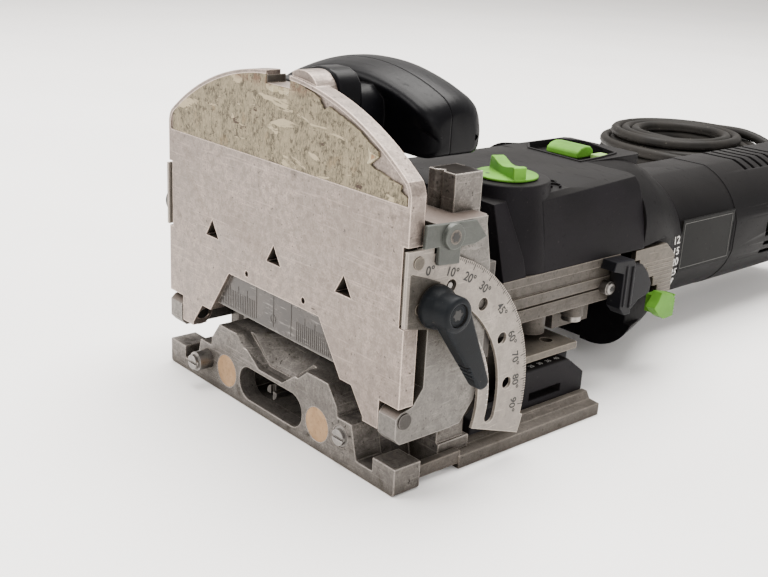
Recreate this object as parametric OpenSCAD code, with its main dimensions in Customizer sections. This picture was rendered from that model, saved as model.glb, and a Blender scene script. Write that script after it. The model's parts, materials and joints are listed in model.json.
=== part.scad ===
// Loose-tenon joiner: a hand-held power tool that cuts slots with a cutter that spins and swings.
// X runs across the tool, Y from the work face to the cord, Z up. The sole lies at z = 0, the work
// face at y = 0, and the cutter is centred on x = 0.

/* [Base] */
// Half of the width of the base and of the fence
half_w = 62; // [61.5:0.1:62.5]
// Thickness of the base plate
plate_t = 4.6; // [4.4:0.1:4.7]
// Rear end of the base plate
plate_end = 96; // [94:0.5:97]
// Height of the cutter's axis above the sole
cutter_z = 10; // [9.9:0.05:10.1]

/* [Fence] */
// Highest point of the fence
fence_top = 114; // [113:0.5:116]
// Thickness of the fence plate
fence_t = 5.4; // [5.2:0.1:5.6]
// Height of the columns that guide the fence
column_top = 92; // [90:0.5:93]

/* [Motor] */
// Travel of the motor unit towards the work
plunge = 29; // [20:0.5:29]
// Height of the motor's axis above the sole
motor_z = 37; // [36.9:0.05:37.1]
// Radius of the motor barrel
barrel_r = 27.5; // [27:0.1:28]
// Rear end of the motor unit
motor_end = 312; // [308:1:316]
// Height of the top cover
cover_top = 76; // [75.5:0.1:76.5]

/* [Cord] */
// Diameter of the cord
cord_d = 7; // [6.8:0.1:7.2]

/* [Hidden] */
$fn = 48;
eps = 0.01;
fit = 0.05;                      // radial clearance of a running fit
slip = 0.15;                     // gap between flat sliding faces
front_bar = 10.2;                // depth of the front bar and of its end blocks
pivot_y = 3;                     // fence hinge
pivot_z = 23.5;
wall_y = [22, 28];               // cast wall that carries the guide rods
col_x = [45, 56];                // guide columns
col_y = [22, 33];
rod_x = 34;                      // guide rods
rod_z = 42;
rod_r = 4;
house_y = 59;                    // front of the gear housing
house_x = 44.5;
rail_z = [34, 50];
keel_x = 17;                     // narrow lower part of the gear housing
port = [-40, 52, 20];            // suction nozzle: start of its axis
port_turn = 35;                  // how far it points to the left
port_r = 11.6;
swing_y = 92;                    // pivot of the spindle arm
gear_m = 0.75;                   // gear module
idler_z = (cutter_z + motor_z) / 2;
clamp_y = pivot_y + 35 * sin(11);        // clamp bolt in the protractor's slot
clamp_z = pivot_z + 35 * cos(11);
knob = [25, 77.5];               // centre of the slot width knob
turret_r = 14.8;                 // round tower that carries it
turret_top = 79;
switch = [-6, 149];              // centre of the power slider
pin_x = 37;                      // stop pins
pin_z = 9.5;
collar_y = [134, 183];
latch_x = 40;
exit_p = [0, motor_end + 6, motor_z - 3];     // where the cord leaves its plug-in socket
coil_c = [-172, 478];            // centre of the wound-up cord
coil_r = 42;                     // mean radius of its turns
coil_w = 4 * cord_d;             // four turns side by side and four high
// Points of the cord from the strain relief to its coil, in millimetres
cord_path = [[0, 348, 34], [0, 362, 32], [-1, 376, 28], [-4, 390, 22], [-9, 402, 15.5], [-17, 412, 9.5],
             [-28, 419.5, 5.5], [-42, 423.5, 4], [-58, 425, 3.5], [-75, 425.5, 3.5], [-92, 425.5, 3.5],
             [-110, 425.5, 3.5], [-130, 425.5, 3.5], [-149, 425.5, 3.5]];
plug = [-112, 523.5, 18];        // where the cord enters the plug, beside the coil

// ---------- helpers ----------

// Draws an outline given in x and z, from y0 to y1
module across(y0, y1) { translate([0, y1, 0]) rotate([90, 0, 0]) linear_extrude(y1 - y0) children(); }

// Draws an outline given in y and z, from x0 to x1
module along(x0, x1) { translate([x0, 0, 0]) rotate([90, 0, 90]) linear_extrude(x1 - x0) children(); }

// Box from its two corners
module span(a, b) { translate(a) cube(b - a); }

// Round bar along Y, along X or along Z
module bar_y(x, z, y0, y1, r) { translate([x, y1, z]) rotate([90, 0, 0]) cylinder(h = y1 - y0, r = r); }
module bar_x(y, z, x0, x1, r) { translate([x0, y, z]) rotate([0, 90, 0]) cylinder(h = x1 - x0, r = r); }
module bar_z(x, y, z0, z1, r) { translate([x, y, z0]) cylinder(h = z1 - z0, r = r); }

// Repeats a shape on the other side of the tool
module both() { children(); mirror([1, 0, 0]) children(); }

// Rectangle with round corners, from its two corners
module soft_rect(a, b, r) {
  translate([a[0] + r, a[1]]) square([b[0] - a[0] - 2 * r, b[1] - a[1]]);
  translate([a[0], a[1] + r]) square([b[0] - a[0], b[1] - a[1] - 2 * r]);
  for (x = [a[0] + r, b[0] - r], y = [a[1] + r, b[1] - r]) translate([x, y]) circle(r);
}

// Spur gear: stub teeth with straight flanks and some backlash
module gear_outline(teeth, phase) {
  r = gear_m * teeth / 2;
  step = 360 / teeth;
  circle(r - 0.8 * gear_m, $fn = 48);
  for (i = [0 : teeth - 1]) rotate(phase + i * step)
    polygon([[r - gear_m, -0.36 * gear_m * PI / 1.6], [r + 0.55 * gear_m, -0.11 * gear_m * PI],
             [r + 0.55 * gear_m, 0.11 * gear_m * PI], [r - gear_m, 0.36 * gear_m * PI / 1.6]]);
}

// Coil spring along Y, swept from small rings
module coil_spring(r, wire, y0, y1, turns) {
  n = turns * 14;
  k = 6;
  pts = [for (i = [0 : n]) let (a = 360 * i / 14, y = y0 + wire + (y1 - y0 - 2 * wire) * i / n)
         for (j = [0 : k - 1]) let (b = 360 * j / k)
         [(r + wire * cos(b)) * cos(a), y + wire * sin(b), (r + wire * cos(b)) * sin(a)]];
  faces = concat([[for (j = [k - 1 : -1 : 0]) j]],
                 [for (i = [0 : n - 1], j = [0 : k - 1])
                  [i * k + j, i * k + (j + 1) % k, (i + 1) * k + (j + 1) % k, (i + 1) * k + j]],
                 [[for (j = [0 : k - 1]) n * k + j]]);
  polyhedron(pts, faces, convexity = 8);
}

// ---------- base ----------

base_half = [[0, 0], [half_w - 0.8, 0], [half_w, 0.8], [half_w, 9], [52.2, 9], [52.2, 4.5], [44.8, 4.5],
             [41.8, 15.2], [35, 15.2], [34.6, 18.3], [30, 24.4], [18.5, 24.4], [6.5, 16], [0, 16]];
boss_half = [[0, 0], [44.8, 0], [41.8, 15.2], [35, 15.2], [34.6, 18.3], [30, 24.4], [0, 24.4]];
notch_half = [[0, 0], [6.5, 0], [20.5, 9.8], [0, 9.8]];

module cutter_slot(y0, y1) { across(y0, y1) soft_rect([-17.5, 3], [17.5, 14.6], 5.6); }

module front_casting() color([0.70, 0.69, 0.67]) difference() {
  union() {
    both() across(0, front_bar) polygon(base_half);
    both() across(front_bar - 6, wall_y[0]) polygon(boss_half);
    span([-col_x[0] - 1, wall_y[0], 0], [col_x[0] + 1, wall_y[1], 52]);
    both() span([col_x[0], col_y[0], plate_t], [col_x[1], col_y[1], column_top]);
    both() span([44, wall_y[0], 0], [57, wall_y[1], plate_t + 4]);
    both() span([44, wall_y[0], plate_t], [57, col_y[1] + 2, plate_t + 4]);
  }
  // Sighting notch, which rises away from the work face
  both() across(-1, 5) translate([0, 16]) polygon(notch_half);
  both() translate([0, 4, 16]) rotate([30, 0, 0]) across(-1, 26) polygon(notch_half);
  cutter_slot(-1, 7);
  span([-21, 6.4, 2.2], [21, wall_y[0] + 1, 15.8]);
  span([-24, wall_y[0] - 2, 0.8], [24, wall_y[1] + 1, 20]);
  // Bores of the stop pins and seats of the contact pads
  for (s = [-1, 1]) {
    bar_y(s * pin_x, pin_z, -1, 16, 3.4);
    bar_y(s * 25.3, 8.8, -1, 3, 5.6);
    bar_y(s * rod_x, rod_z, wall_y[0] - 1, wall_y[1] + 1, rod_r);
    // V groove down the front of each column
    translate([s * 49.4, col_y[0], plate_t + 6]) rotate([0, 0, 45]) translate([-1.2, -1.2, 0])
      cube([2.4, 2.4, column_top]);
  }
}

rail_half = [[18.5, 0], [60.5, 0], [60.5, 4.3], [56.6, plate_t], [18.5, plate_t]];

// Two flat rails with a low ridge along each; the left one ends at the suction nozzle
module ridge(end) across(col_y[1] + 2.2, end) polygon([[56.6, 4], [54.8, 7], [52.4, 7], [52.4, 4]]);
module base_plate() color([0.62, 0.60, 0.57]) {
  both() {
    across(wall_y[1], plate_end) polygon(rail_half);
    span([57.2, front_bar, 1.8], [60, wall_y[1] + 1, 6]);
  }
  ridge(plate_end);
  mirror([1, 0, 0]) ridge(58);
}

module contact_pads() color([0.80, 0.66, 0.47]) for (s = [-1, 1]) bar_y(s * 25.3, 8.8, 0.1, 3, 5.6);

module guide_rods() color([0.78, 0.78, 0.80]) both() bar_y(rod_x, rod_z, wall_y[0], collar_y[0] - plunge - 5, rod_r);

module return_springs() color([0.55, 0.56, 0.58])
  for (s = [-1, 1]) translate([s * rod_x, 0, rod_z]) coil_spring(5.3, 0.55, wall_y[1], 79, 11);

// Suction nozzle on the left side of the base, which takes a hose
module port_tube(from, to, r) translate(port) rotate([0, 0, port_turn]) rotate([-90, 0, 0])
  translate([0, 0, from]) cylinder(h = to - from, r = r);
module dust_port() color([0.10, 0.10, 0.11]) difference() {
  union() {
    port_tube(0, 60, port_r + 1.8);
    port_tube(50, 53, port_r + 2.4);
    span([-51.6, 40, plate_t], [-24, 65, port[2]]);
  }
  port_tube(14, 61, port_r);
  port_tube(3, 15, port_r - 0.6);
  span([-40, 44, plate_t + 2], [-20, 58, 16]);
}

// Steel bracket over the step gauge
module gauge_bracket() color([0.66, 0.65, 0.63]) {
  span([26, 62, plate_t], [36, 92, 6.4]);
  span([33.6, 64, 6.4], [36, 92, 25]);
  difference() {
    span([33.6, 66, 22.6], [51, 92, 25]);
    bar_z(44, 84, 20, 28, 2.2);
  }
}

module base_screws() color([0.30, 0.30, 0.32]) {
  for (y = [68, 86]) bar_z(29.6, y, 6.4, 8.2, 2.7);
  both() for (y = [48, 80]) bar_z(21.2, y, plate_t, plate_t + 1.4, 2.4);
}

// ---------- stop pins and step gauge ----------

module stop_pin(x, y0) difference() {
  union() {
    bar_y(x, pin_z, y0, y0 + 15.6, 3.4 - fit);
    bar_y(x, pin_z, y0 - 1.4, y0, 2.6);
  }
  span([x - 6, y0 - 2, pin_z - 0.5], [x + 6, y0 - 0.7, pin_z + 0.5]);
}
module stop_pin_left() color([0.75, 0.75, 0.76]) stop_pin(-pin_x, -5.2);
module stop_pin_right() color([0.75, 0.75, 0.76]) stop_pin(pin_x, 0.2);
module stop_pin_spring() color([0.5, 0.5, 0.52])
  translate([-pin_x, 0, pin_z]) coil_spring(2.2, 0.4, 10.6, 15.9, 4);

gauge_steps = [8, 10, 11, 12.5, 14, 18, 20];   // heights that set the common board thicknesses
module step_gauge() color([0.09, 0.09, 0.10]) difference() {
  union() {
    span([38.4, 60, plate_t + slip], [52.2, 93.5, 8]);
    for (i = [0 : 6]) span([38.4, 62 + 2.6 * i, 6], [46, 93.5, gauge_steps[i]]);
    along(46 - eps, 52.2) polygon([[62, 5], [93.5, 5], [95.6, 7], [95.6, 13.5], [87, 20], [64, 20], [62, 18]]);
  }
  span([48.4, 68, 9], [53, 84, 12]);
}

// ---------- fence carriage ----------

cheek = [[-0.2, 18.4], [1.6, 16.4], [21.8, 16.4], [21.8, 34], [9.7, 34], [9.7, 32.2], [5.8, 27.2],
         [1.4, 26.2], [-0.2, 24.6]];
cheek_side = [[20, 16.4], [25.6, 16.8], [30.8, 23.2], [33.1, 34], [33.1, 66], [30, 81], [9.7, 81],
              [9.7, 32.2], [20, 30]];

module fence_carriage() color([0.68, 0.67, 0.65]) difference() {
  union() {
    both() along(54, 61.5) polygon(cheek);
    both() along(col_x[1] + slip, 61.5) polygon(cheek_side);
    both() span([43, 9.7, 34], [61.5, col_y[0] - slip, 81]);
    span([-45, 9.7, 46], [45, 19.4, 62]);
    both() span([61.4, 9.7, 75.3], [63, 29, 81]);
    // Ribs that run in the grooves of the columns
    for (s = [-1, 1]) translate([s * 49.4, col_y[0], 36]) rotate([0, 0, 45]) translate([-0.8, -0.8, 0])
      cube([1.6, 1.6, 44]);
  }
  both() bar_x(pivot_y, pivot_z, 53, 63, 2.5);
  both() bar_x(clamp_y, clamp_z, 46, 63, 2);
  bar_x(14, 77.5, 55, 64, 1.6);
  // Windows that lighten the cross member
  for (x = [-24, 24]) span([x - 10, 9, 50], [x + 10, 21, 58]);
}

module pointer_plate() color([0.36, 0.40, 0.38]) difference() {
  along(63, 64.4) polygon([[4, 75], [9.4, 75], [9.4, 69.6], [17.6, 69], [17.6, 73.9], [23.2, 73.9],
                           [28, 75.4], [23.4, 80.8], [4.4, 81.6]]);
  bar_x(14, 77.5, 62, 66, 1.6);
}

module hinge_pins() color([0.45, 0.45, 0.46]) both() bar_x(pivot_y, pivot_z, 45.6, 62, 2.5);

module column_keepers() color([0.25, 0.24, 0.23]) both() difference() {
  span([50, col_y[1] + slip, 36], [61.5, 35.6, 66]);
  bar_y(58.8, 42, 30, 40, 1);
  bar_y(58.8, 60, 30, 40, 1);
}

module angle_clamp_stud() color([0.70, 0.70, 0.72]) {
  bar_x(clamp_y, clamp_z, 50, 70, 2);
  bar_x(14, 77.5, 56, 64.4, 1.6);
  bar_x(14, 77.5, 64.4, 65.6, 3.4);
}
module height_clamp_stud() color([0.70, 0.70, 0.72]) mirror([1, 0, 0]) bar_x(clamp_y, clamp_z, 50, 70, 2);

// Clamp lever: a conical hub and a ribbed arm
module clamp_lever() difference() {
  union() {
    translate([63.4, 0, 0]) rotate([0, 90, 0]) cylinder(h = 4.6, r1 = 6.6, r2 = 5.8);
    bar_x(0, 0, 67.9, 73.6, 5.2);
    hull() {
      bar_x(0, 0, 67, 73, 4.9, $fn = 32);
      bar_x(12, -22.6, 68.8, 73.6, 2.3, $fn = 32);
    }
  }
  bar_x(0, 0, 60, 70.1, 2 + fit);
  bar_x(0, 0, 70.1, 76, 3.4);
}
module angle_lever() color([0.10, 0.12, 0.15]) translate([0, clamp_y, clamp_z]) clamp_lever();
module height_lever() color([0.10, 0.12, 0.15]) translate([0, clamp_y, clamp_z]) mirror([1, 0, 0]) clamp_lever();
module lever_screw() translate([0, clamp_y, clamp_z]) difference() {
  bar_x(0, 0, 70.2, 72.8, 3.2);
  translate([71.6, 0, 0]) rotate([0, 90, 0]) cylinder(h = 2, r = 1.6, $fn = 6);
}
module angle_lever_screw() color([0.30, 0.32, 0.34]) lever_screw();
module height_lever_screw() color([0.30, 0.32, 0.34]) mirror([1, 0, 0]) lever_screw();

// ---------- fence ----------

fence_half = [[0, 44.3], [24.4, 44.3], [35.6, 28], [40.9, 28], [46.7, 20], [46.7, 18.8], [53.5, 18.8],
              [53.5, 28], [half_w, 28], [half_w, 89.6], [61.4, 91.6], [60.4, 93.2], [0, 93.2]];
arch_r = 98;                     // radius of the arched top edge
module fence_face() {
  for (s = [0, 1]) mirror([s, 0]) polygon(fence_half);
  intersection() {
    translate([0, fence_top - arch_r]) circle(arch_r, $fn = 180);
    translate([-60.4, 60]) square([120.8, 70]);
  }
}
// Upper part of the fence, which carries the lining
module lining_face() intersection() {
  offset(delta = -1.2) fence_face();
  translate([-70, 86.5]) square([140, 60]);
}
module triangle_mark(x) translate([x, 54.4]) polygon([[-3.85, 0], [3.85, 0], [0, 6.1]]);

module fence_plate() color([0.72, 0.71, 0.68]) difference() {
  union() {
    across(0, fence_t) fence_face();
    // Hinge ears
    both() intersection() {
      union() {
        bar_x(pivot_y, pivot_z, 46.7, 53.5, 4.9);
        along(46.7, 53.5) polygon([[0, pivot_z], [7.6, pivot_z], [5, 36], [0, 36]]);
      }
      span([40, 0, 0], [54, 20, 40]);
    }
    // Seat of the handle
    across(1, 14) {
      soft_rect([-19, 88], [19, 110], 6);
      soft_rect([3, 88], [20, 116], 8);
    }
  }
  // Sighting marks
  for (x = [-34.5, 0.6, 35.4]) across(-1, fence_t + 1) triangle_mark(x);
  for (x = [-14, 16.5]) bar_y(x, 47, -1, fence_t + 1, 1);
  across(-1, 20) translate([1, fence_top + 0.5]) square([12, 9], center = true);
  // Recesses of the side plates
  both() span([60, -1, 52], [70, fence_t + 1, 75.4]);
  both() bar_x(pivot_y, pivot_z, 40, 56, 2.5 + fit);
  // Screw holes of the handle
  for (x = [-11, 11]) bar_y(x, 103, 0.5, 30, 2);
  // Seat of the lining
  across(-1, 0.6) lining_face();
}

module fence_lining() color([0.55, 0.54, 0.47]) difference() {
  across(0.05, 0.6) lining_face();
  across(-1, 20) translate([1, fence_top + 0.5]) square([12, 9], center = true);
}

module sight_window() color([0.55, 0.55, 0.53, 0.8]) across(1.6, fence_t)
  polygon([[-24.4, 44.3], [24.4, 44.3], [33.4, 31.2], [-33.4, 31.2]]);

module ring_sector(r0, r1, a0, a1) {
  steps = 16;
  polygon(concat([for (i = [0 : steps]) let (a = a0 + (a1 - a0) * i / steps) [r0 * sin(a), r0 * cos(a)]],
                 [for (i = [steps : -1 : 0]) let (a = a0 + (a1 - a0) * i / steps) [r1 * sin(a), r1 * cos(a)]]));
}

module protractor() color([0.80, 0.77, 0.71]) along(61.7, 62.8) difference() {
  union() {
    translate([-0.5, 52.6]) square([9.5, 21.9]);
    translate([pivot_y, pivot_z]) ring_sector(28.5, 49.6, 6, 109);
    translate([pivot_y, pivot_z]) ring_sector(28.5, 50.8, 102, 109);
  }
  translate([pivot_y, pivot_z]) {
    ring_sector(33, 37.2, 8, 102);
    for (a = [11, 102]) rotate(-a) translate([0, 35]) circle(2.1);
    for (i = [0 : 3]) rotate(-19.3 - 22.5 * i) translate([0, 41]) circle(2);
  }
  translate([3.4, 71]) circle(1.9);
  translate([5, 57.5]) circle(1.9);
}

module side_plate() color([0.72, 0.70, 0.66]) mirror([1, 0, 0]) along(61.7, 62.8) difference() {
  union() {
    translate([-0.5, 52.6]) square([9.5, 21.9]);
    translate([pivot_y, pivot_z]) ring_sector(28.5, 43, 6, 109);
  }
  translate([pivot_y, pivot_z]) {
    ring_sector(33, 37.2, 8, 102);
    for (a = [11, 102]) rotate(-a) translate([0, 35]) circle(2.1);
  }
  translate([3.4, 71]) circle(1.9);
  translate([5, 57.5]) circle(1.9);
}

module fence_rivets() color([0.60, 0.60, 0.58]) both() {
  bar_x(3.4, 71, 60, 63.2, 1.9);
  bar_x(5, 57.5, 60, 62.9, 1.9);
  span([60, 0.4, 53], [61.7, 7.2, 74]);
}

// Handle: an arched bar on a neck, split into a front and a rear shell
handle_low = 91.6;
handle_top = 117;
handle_arch = 84;                // radius of its crest
handle_seam = 36.5;
module handle_form(grow) {
  intersection() {
    translate([0, 0, 60]) linear_extrude(90) hull() {
      for (s = [-1, 1]) translate([s * 26, 39.5]) circle(12.5 - grow, $fn = 32);
      translate([0, 40]) circle(13 - grow, $fn = 32);
    }
    across(10, 70) intersection() {
      translate([0, handle_top - handle_arch - grow]) circle(handle_arch, $fn = 96);
      translate([-60, handle_low + grow]) square([120, 40]);
    }
  }
}
module handle_neck() span([-17, 14, 93], [17, 36, 113]);

module handle_front() color([0.10, 0.10, 0.11]) difference() {
  union() {
    intersection() { handle_form(0); span([-60, 10, 80], [60, handle_seam, 130]); }
    handle_neck();
  }
  intersection() { handle_form(2.6); span([-60, 28, 80], [60, handle_seam + 1, 130]); }
  for (x = [-11, 11]) {
    bar_y(x, 103, 10, 40, 2);
    bar_y(x, 103, 28, 44, 3.7);
  }
}
module handle_rear() color([0.11, 0.11, 0.12]) difference() {
  intersection() { handle_form(0); span([-60, handle_seam, 80], [60, 70, 130]); }
  intersection() { handle_form(2.6); span([-60, handle_seam - 1, 80], [60, 56, 130]); }
}
module handle_screws() color([0.5, 0.5, 0.52]) for (x = [-11, 11]) {
  bar_y(x, 103, 5, 30.6, 2);
  bar_y(x, 103, 28, 30.6, 3.6);
}

// ---------- motor unit ----------

module gear_housing() color([0.60, 0.59, 0.56]) difference() {
  union() {
    span([-house_x, house_y, rail_z[0]], [house_x, 120, rail_z[1]]);
    span([-keel_x, house_y, 1], [keel_x, 104, rail_z[0] + 1]);
    bar_z(38, 82, 27, rail_z[0] + 1, 5);
    bar_z(38, 104, 28.6, rail_z[0] + 1, 4.2);
    bar_y(0, motor_z, 110, collar_y[0] + 2, 26);
    span([18, 100, 22], [33, 120, rail_z[0] + 1]);
  }
  // Side grooves of the rails
  both() span([house_x - 0.8, house_y - 1, 43], [house_x + 1, 121, 47]);
  both() span([house_x - 1.2, house_y - 1, 38.6], [house_x + 1, 121, 39.4]);
  // Gear chamber, open to the front for the spindle arm
  span([-14.5, 62, 2.4], [14.5, 101.5, 48]);
  span([-14.5, house_y - 1, 2.4], [14.5, 63, 19.4]);
  bar_y(0, motor_z, 100, 130, 5);
  bar_y(0, motor_z, 109, 116, 9.5);
  bar_y(0, motor_z, 126, 143, 22.5);
  // Bores of the guide rods
  for (s = [-1, 1]) {
    bar_y(s * rod_x, rod_z, house_y - 1, 79, 6.6);
    bar_y(s * rod_x, rod_z, 78, 121, 6);
  }
  bar_y(0, idler_z, 58, 64, 2);
  bar_y(0, idler_z, 100, 103, 2);
  bar_z(0, swing_y, 0, 3, 3);
  both() bar_x(112, 39.4, 42, 46, 2.5);
}

module cover_outline(inset) {
  difference() {
    union() {
      translate([-43 + inset, house_y + 14 + inset]) square([86 - 2 * inset, 76]);
      translate([-30, house_y + inset]) square([68 - inset, 40]);
      translate(knob) circle(turret_r - inset, $fn = 64);
      translate([-29, house_y + 14]) circle(14 - inset, $fn = 64);
    }
    translate([-60, collar_y[0] - inset]) square([120, 60]);
  }
}
module top_cover() color([0.11, 0.11, 0.12]) difference() {
  union() {
    translate([0, 0, rail_z[1]]) linear_extrude(cover_top - rail_z[1]) cover_outline(0);
    bar_z(knob[0], knob[1], rail_z[1], turret_top, turret_r, $fn = 64);
    span([-24, collar_y[0] - 6, 62], [14, 168, cover_top]);
  }
  translate([0, 0, rail_z[1] - 1]) linear_extrude(cover_top - rail_z[1] - 1.6) cover_outline(2.6);
  // Sloping left shoulder
  across(50, 180) polygon([[-26, cover_top + 1], [-26, cover_top], [-44, cover_top - 9], [-44, cover_top + 1]]);
  // Switch recess
  translate(switch) {
    span([-11, -14.8, cover_top - 2.5], [11, 16, cover_top + 1]);
    span([-7, -13.8, 60], [7, 14, cover_top + 1]);
  }
  // Bore of the slot width knob
  bar_z(knob[0], knob[1], cover_top - 6, turret_top + 1, 5.05);
  span([-27, collar_y[0], 50], [15, 170, 66]);
  bar_y(0, motor_z, collar_y[0] - 6, collar_y[0] + 1, 26.1);
}

module collar_slice(y, w, h, lo, r) translate([0, y, 0]) rotate([90, 0, 0]) linear_extrude(0.1)
  soft_rect([-w, lo], [w, h], r);
module depth_collar() color([0.12, 0.12, 0.13]) difference() {
  hull() {
    collar_slice(collar_y[0] + 0.1, 44, 76, 6.8, 19, $fn = 32);
    collar_slice(collar_y[0] + 16, 40.6, 75, 7.2, 24, $fn = 32);
    collar_slice(collar_y[1] - 12, 33.6, 70.5, 8, 30, $fn = 32);
    collar_slice(collar_y[1], 28.6, 65.6, 8.4, 28, $fn = 32);
  }
  bar_y(0, motor_z, 130, 190, barrel_r + 0.2);
  span([-24.2, 130, 61.5], [14.2, 168.2, 90]);
  // Recess of the depth stop
  span([latch_x - 0.2, 130, 19], [60, 200, rail_z[1] + 0.2]);
}

module barrel_outline(grow) {
  intersection() {
    translate([0, motor_z]) circle(barrel_r + 0.8 + grow, $fn = 96);
    translate([-27.6 - grow, motor_z - 26.8 - grow]) square([55.2 + 2 * grow, 54 + 2 * grow]);
  }
}
module motor_housing() color([0.11, 0.11, 0.12]) difference() {
  union() {
    bar_y(0, motor_z, collar_y[0] + 2.1, collar_y[1] + 1, barrel_r);
    across(collar_y[1], 224) barrel_outline(0);
  }
  bar_y(0, motor_z, collar_y[0] + 1, 225, 24.4);
  span([27, 184, 27], [30, 222, 49.4]);
}
module rear_grip() color([0.12, 0.12, 0.13]) difference() {
  union() {
    across(224, motor_end - 8) barrel_outline(0.2);
    across(motor_end - 8.1, motor_end) soft_rect([-25, motor_z - 24], [25, motor_z + 24], 20);
  }
  bar_y(0, motor_z, 223, 262, 24.4);
  bar_y(0, motor_z, 270, motor_end - 3, 22);
  bar_y(0, motor_z, 261, 271, 4.2);
  bar_y(0, motor_z, 255, 262.1, 8);
  bar_y(0, motor_z - 3, motor_end - 4, motor_end + 1, 9);
  // Cooling slots, over the top and on both sides
  for (i = [0 : 5]) span([-15, 246 + 6.4 * i, 55], [15, 248.4 + 6.4 * i, 70]);
  for (i = [0 : 5]) span([-40, 250, 24.4 + 4.4 * i], [40, 284, 26.2 + 4.4 * i]);
}
module rating_plate() color([0.20, 0.21, 0.21]) span([27, 184.1, 27.1], [27.5, 221.9, 49.3]);

module rod_bushes() color([0.75, 0.62, 0.35]) for (s = [-1, 1], y = [79, 100]) difference() {
  bar_y(s * rod_x, rod_z, y, y + 12, 6);
  bar_y(s * rod_x, rod_z, y - 1, y + 13, rod_r + fit);
}
module ball_bearing(y, z, r_in, r_out, w) difference() {
  bar_y(0, z, y, y + w, r_out);
  bar_y(0, z, y - 1, y + w + 1, r_in);
  for (e = [y - 0.5, y + w - 0.5]) difference() {
    bar_y(0, z, e, e + 1, r_out - 1.4);
    bar_y(0, z, e - 1, e + 2, r_in + 1.4);
  }
}
module motor_bearings() color([0.70, 0.70, 0.72]) {
  ball_bearing(109, motor_z, 4 + fit, 9.5, 7);
  ball_bearing(255, motor_z, 4 + fit, 8, 6);
}
module stator() color([0.45, 0.30, 0.20]) difference() {
  bar_y(0, motor_z, 172, 218, 24.2);
  bar_y(0, motor_z, 171, 219, 16.2);
  for (a = [0, 90, 180, 270]) translate([0, 0, motor_z]) rotate([0, a, 0]) span([-3, 171, 15], [3, 219, 21]);
}
module brush_holders() color([0.55, 0.48, 0.30]) both() difference() {
  span([11.3, 230, motor_z - 4], [23.6, 240, motor_z + 4]);
  span([14, 231.4, motor_z - 2.6], [23, 238.6, motor_z + 2.6]);
}
module switch_block() color([0.15, 0.15, 0.16]) translate(switch)
  span([-6.9, -10, 66.1], [6.9, 10, 69]);

module housing_screws() color([0.30, 0.30, 0.32]) {
  both() bar_x(112, 39.4, 42, 47.4, 2.5);
  bar_z(38, 104, 26.6, 28.6, 3.6);
  for (x = [-20, 20], z = [18, 56]) bar_y(x * 0.9, z, motor_end, motor_end + 1.2, 2.4);
}

// Stepped depth stop, fixed to the right of the collar: one step for each depth
depth_marks = [12, 15, 20, 25, 28];
module depth_steps() color([0.62, 0.61, 0.58]) along(latch_x - 0.2, latch_x + 2) polygon(concat(
  [[158, 28.5], [158, 43.5], [152, 48.5]],
  [for (i = [0 : 4]) each [[121 + depth_marks[i], 48.5 - 4 * i], [121 + depth_marks[i], 44.5 - 4 * i]]]));

// Bracket on the rail, with a fin that guards the latch
module depth_bracket() color([0.10, 0.10, 0.12]) {
  along(house_x, house_x + 6) polygon([[115, 32], [118, 29], [121.4, 29], [121.4, 47.4], [120, 49.6], [110, 50],
                                       [109, 46.8], [115, 45]]);
  along(house_x + 2.6, house_x + 5) polygon([[121, 47], [127, 46.4], [131, 42.6], [133.6, 38], [133, 34.6], [127, 33],
                                             [123.6, 30.6], [121, 29]]);
}
// Depth latch: a slider that moves up and down in front of the steps
module depth_latch() color([0.42, 0.75, 0.28]) {
  span([latch_x + 2.2, 142.4, 23.6], [latch_x + 5, 149.4, 30.4]);
  along(latch_x + 4.9, latch_x + 9) polygon([[142.1, 23.8], [145.8, 21.5], [151.4, 21.9], [151.4, 28.4], [149.5, 30.8],
                                             [142.6, 32.4], [141.4, 29.6], [139, 27]]);
}

module width_knob() color([0.45, 0.78, 0.30]) translate([knob[0], knob[1], turret_top]) {
  bar_z(0, 0, -1.8, 0.3, 5);
  bar_z(0, 0, 0.3, 1.2, 10.7);
  translate([0, 0, 1.1]) rotate([0, 0, -23]) across(-2.4, 2.4)
    polygon([[-9.6, 0], [10.4, 0], [10.2, 4.4], [7.6, 4.2], [1, 3.2], [-5.4, 4.4], [-8.6, 4.6]]);
}

module power_slider() color([0.45, 0.78, 0.30]) translate([switch[0], switch[1], cover_top]) {
  span([-6.4, -6, -2.3], [6.4, 6, -0.6]);
  along(-6.4, 6.4) polygon([[-6, -1], [5.6, -1], [4, 1.6], [-4.4, 2.4]]);
  span([-3, -4, -6.8], [3, 4, -2]);
}

// ---------- rotating parts ----------

module armature() color([0.55, 0.40, 0.28]) {
  bar_y(0, motor_z, 88, 261, 4);
  difference() {
    bar_y(0, motor_z, 172, 218, 15.4);
    for (i = [0 : 11]) translate([0, 0, motor_z]) rotate([0, 30 * i, 0]) span([-0.8, 171, 12], [0.8, 219, 17]);
  }
  bar_y(0, motor_z, 222, 242, 10.8);
  across(90.5, 93.5) translate([0, motor_z]) gear_outline(12, 0);
}
module cooling_fan() color([0.14, 0.14, 0.15]) difference() {
  union() {
    bar_y(0, motor_z, 150, 162, 7);
    bar_y(0, motor_z, 160, 162, 21);
    for (i = [0 : 11]) translate([0, 0, motor_z]) rotate([0, 30 * i, 0]) span([-0.7, 151, 6], [0.7, 161, 20.6]);
  }
  bar_y(0, motor_z, 149, 163, 4);
}
module idler_gear() color([0.62, 0.62, 0.64]) {
  across(90, 94) translate([0, idler_z]) gear_outline(24, 7.5);
  bar_y(0, idler_z, 61, 102.5, 2 - fit);
}

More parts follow.
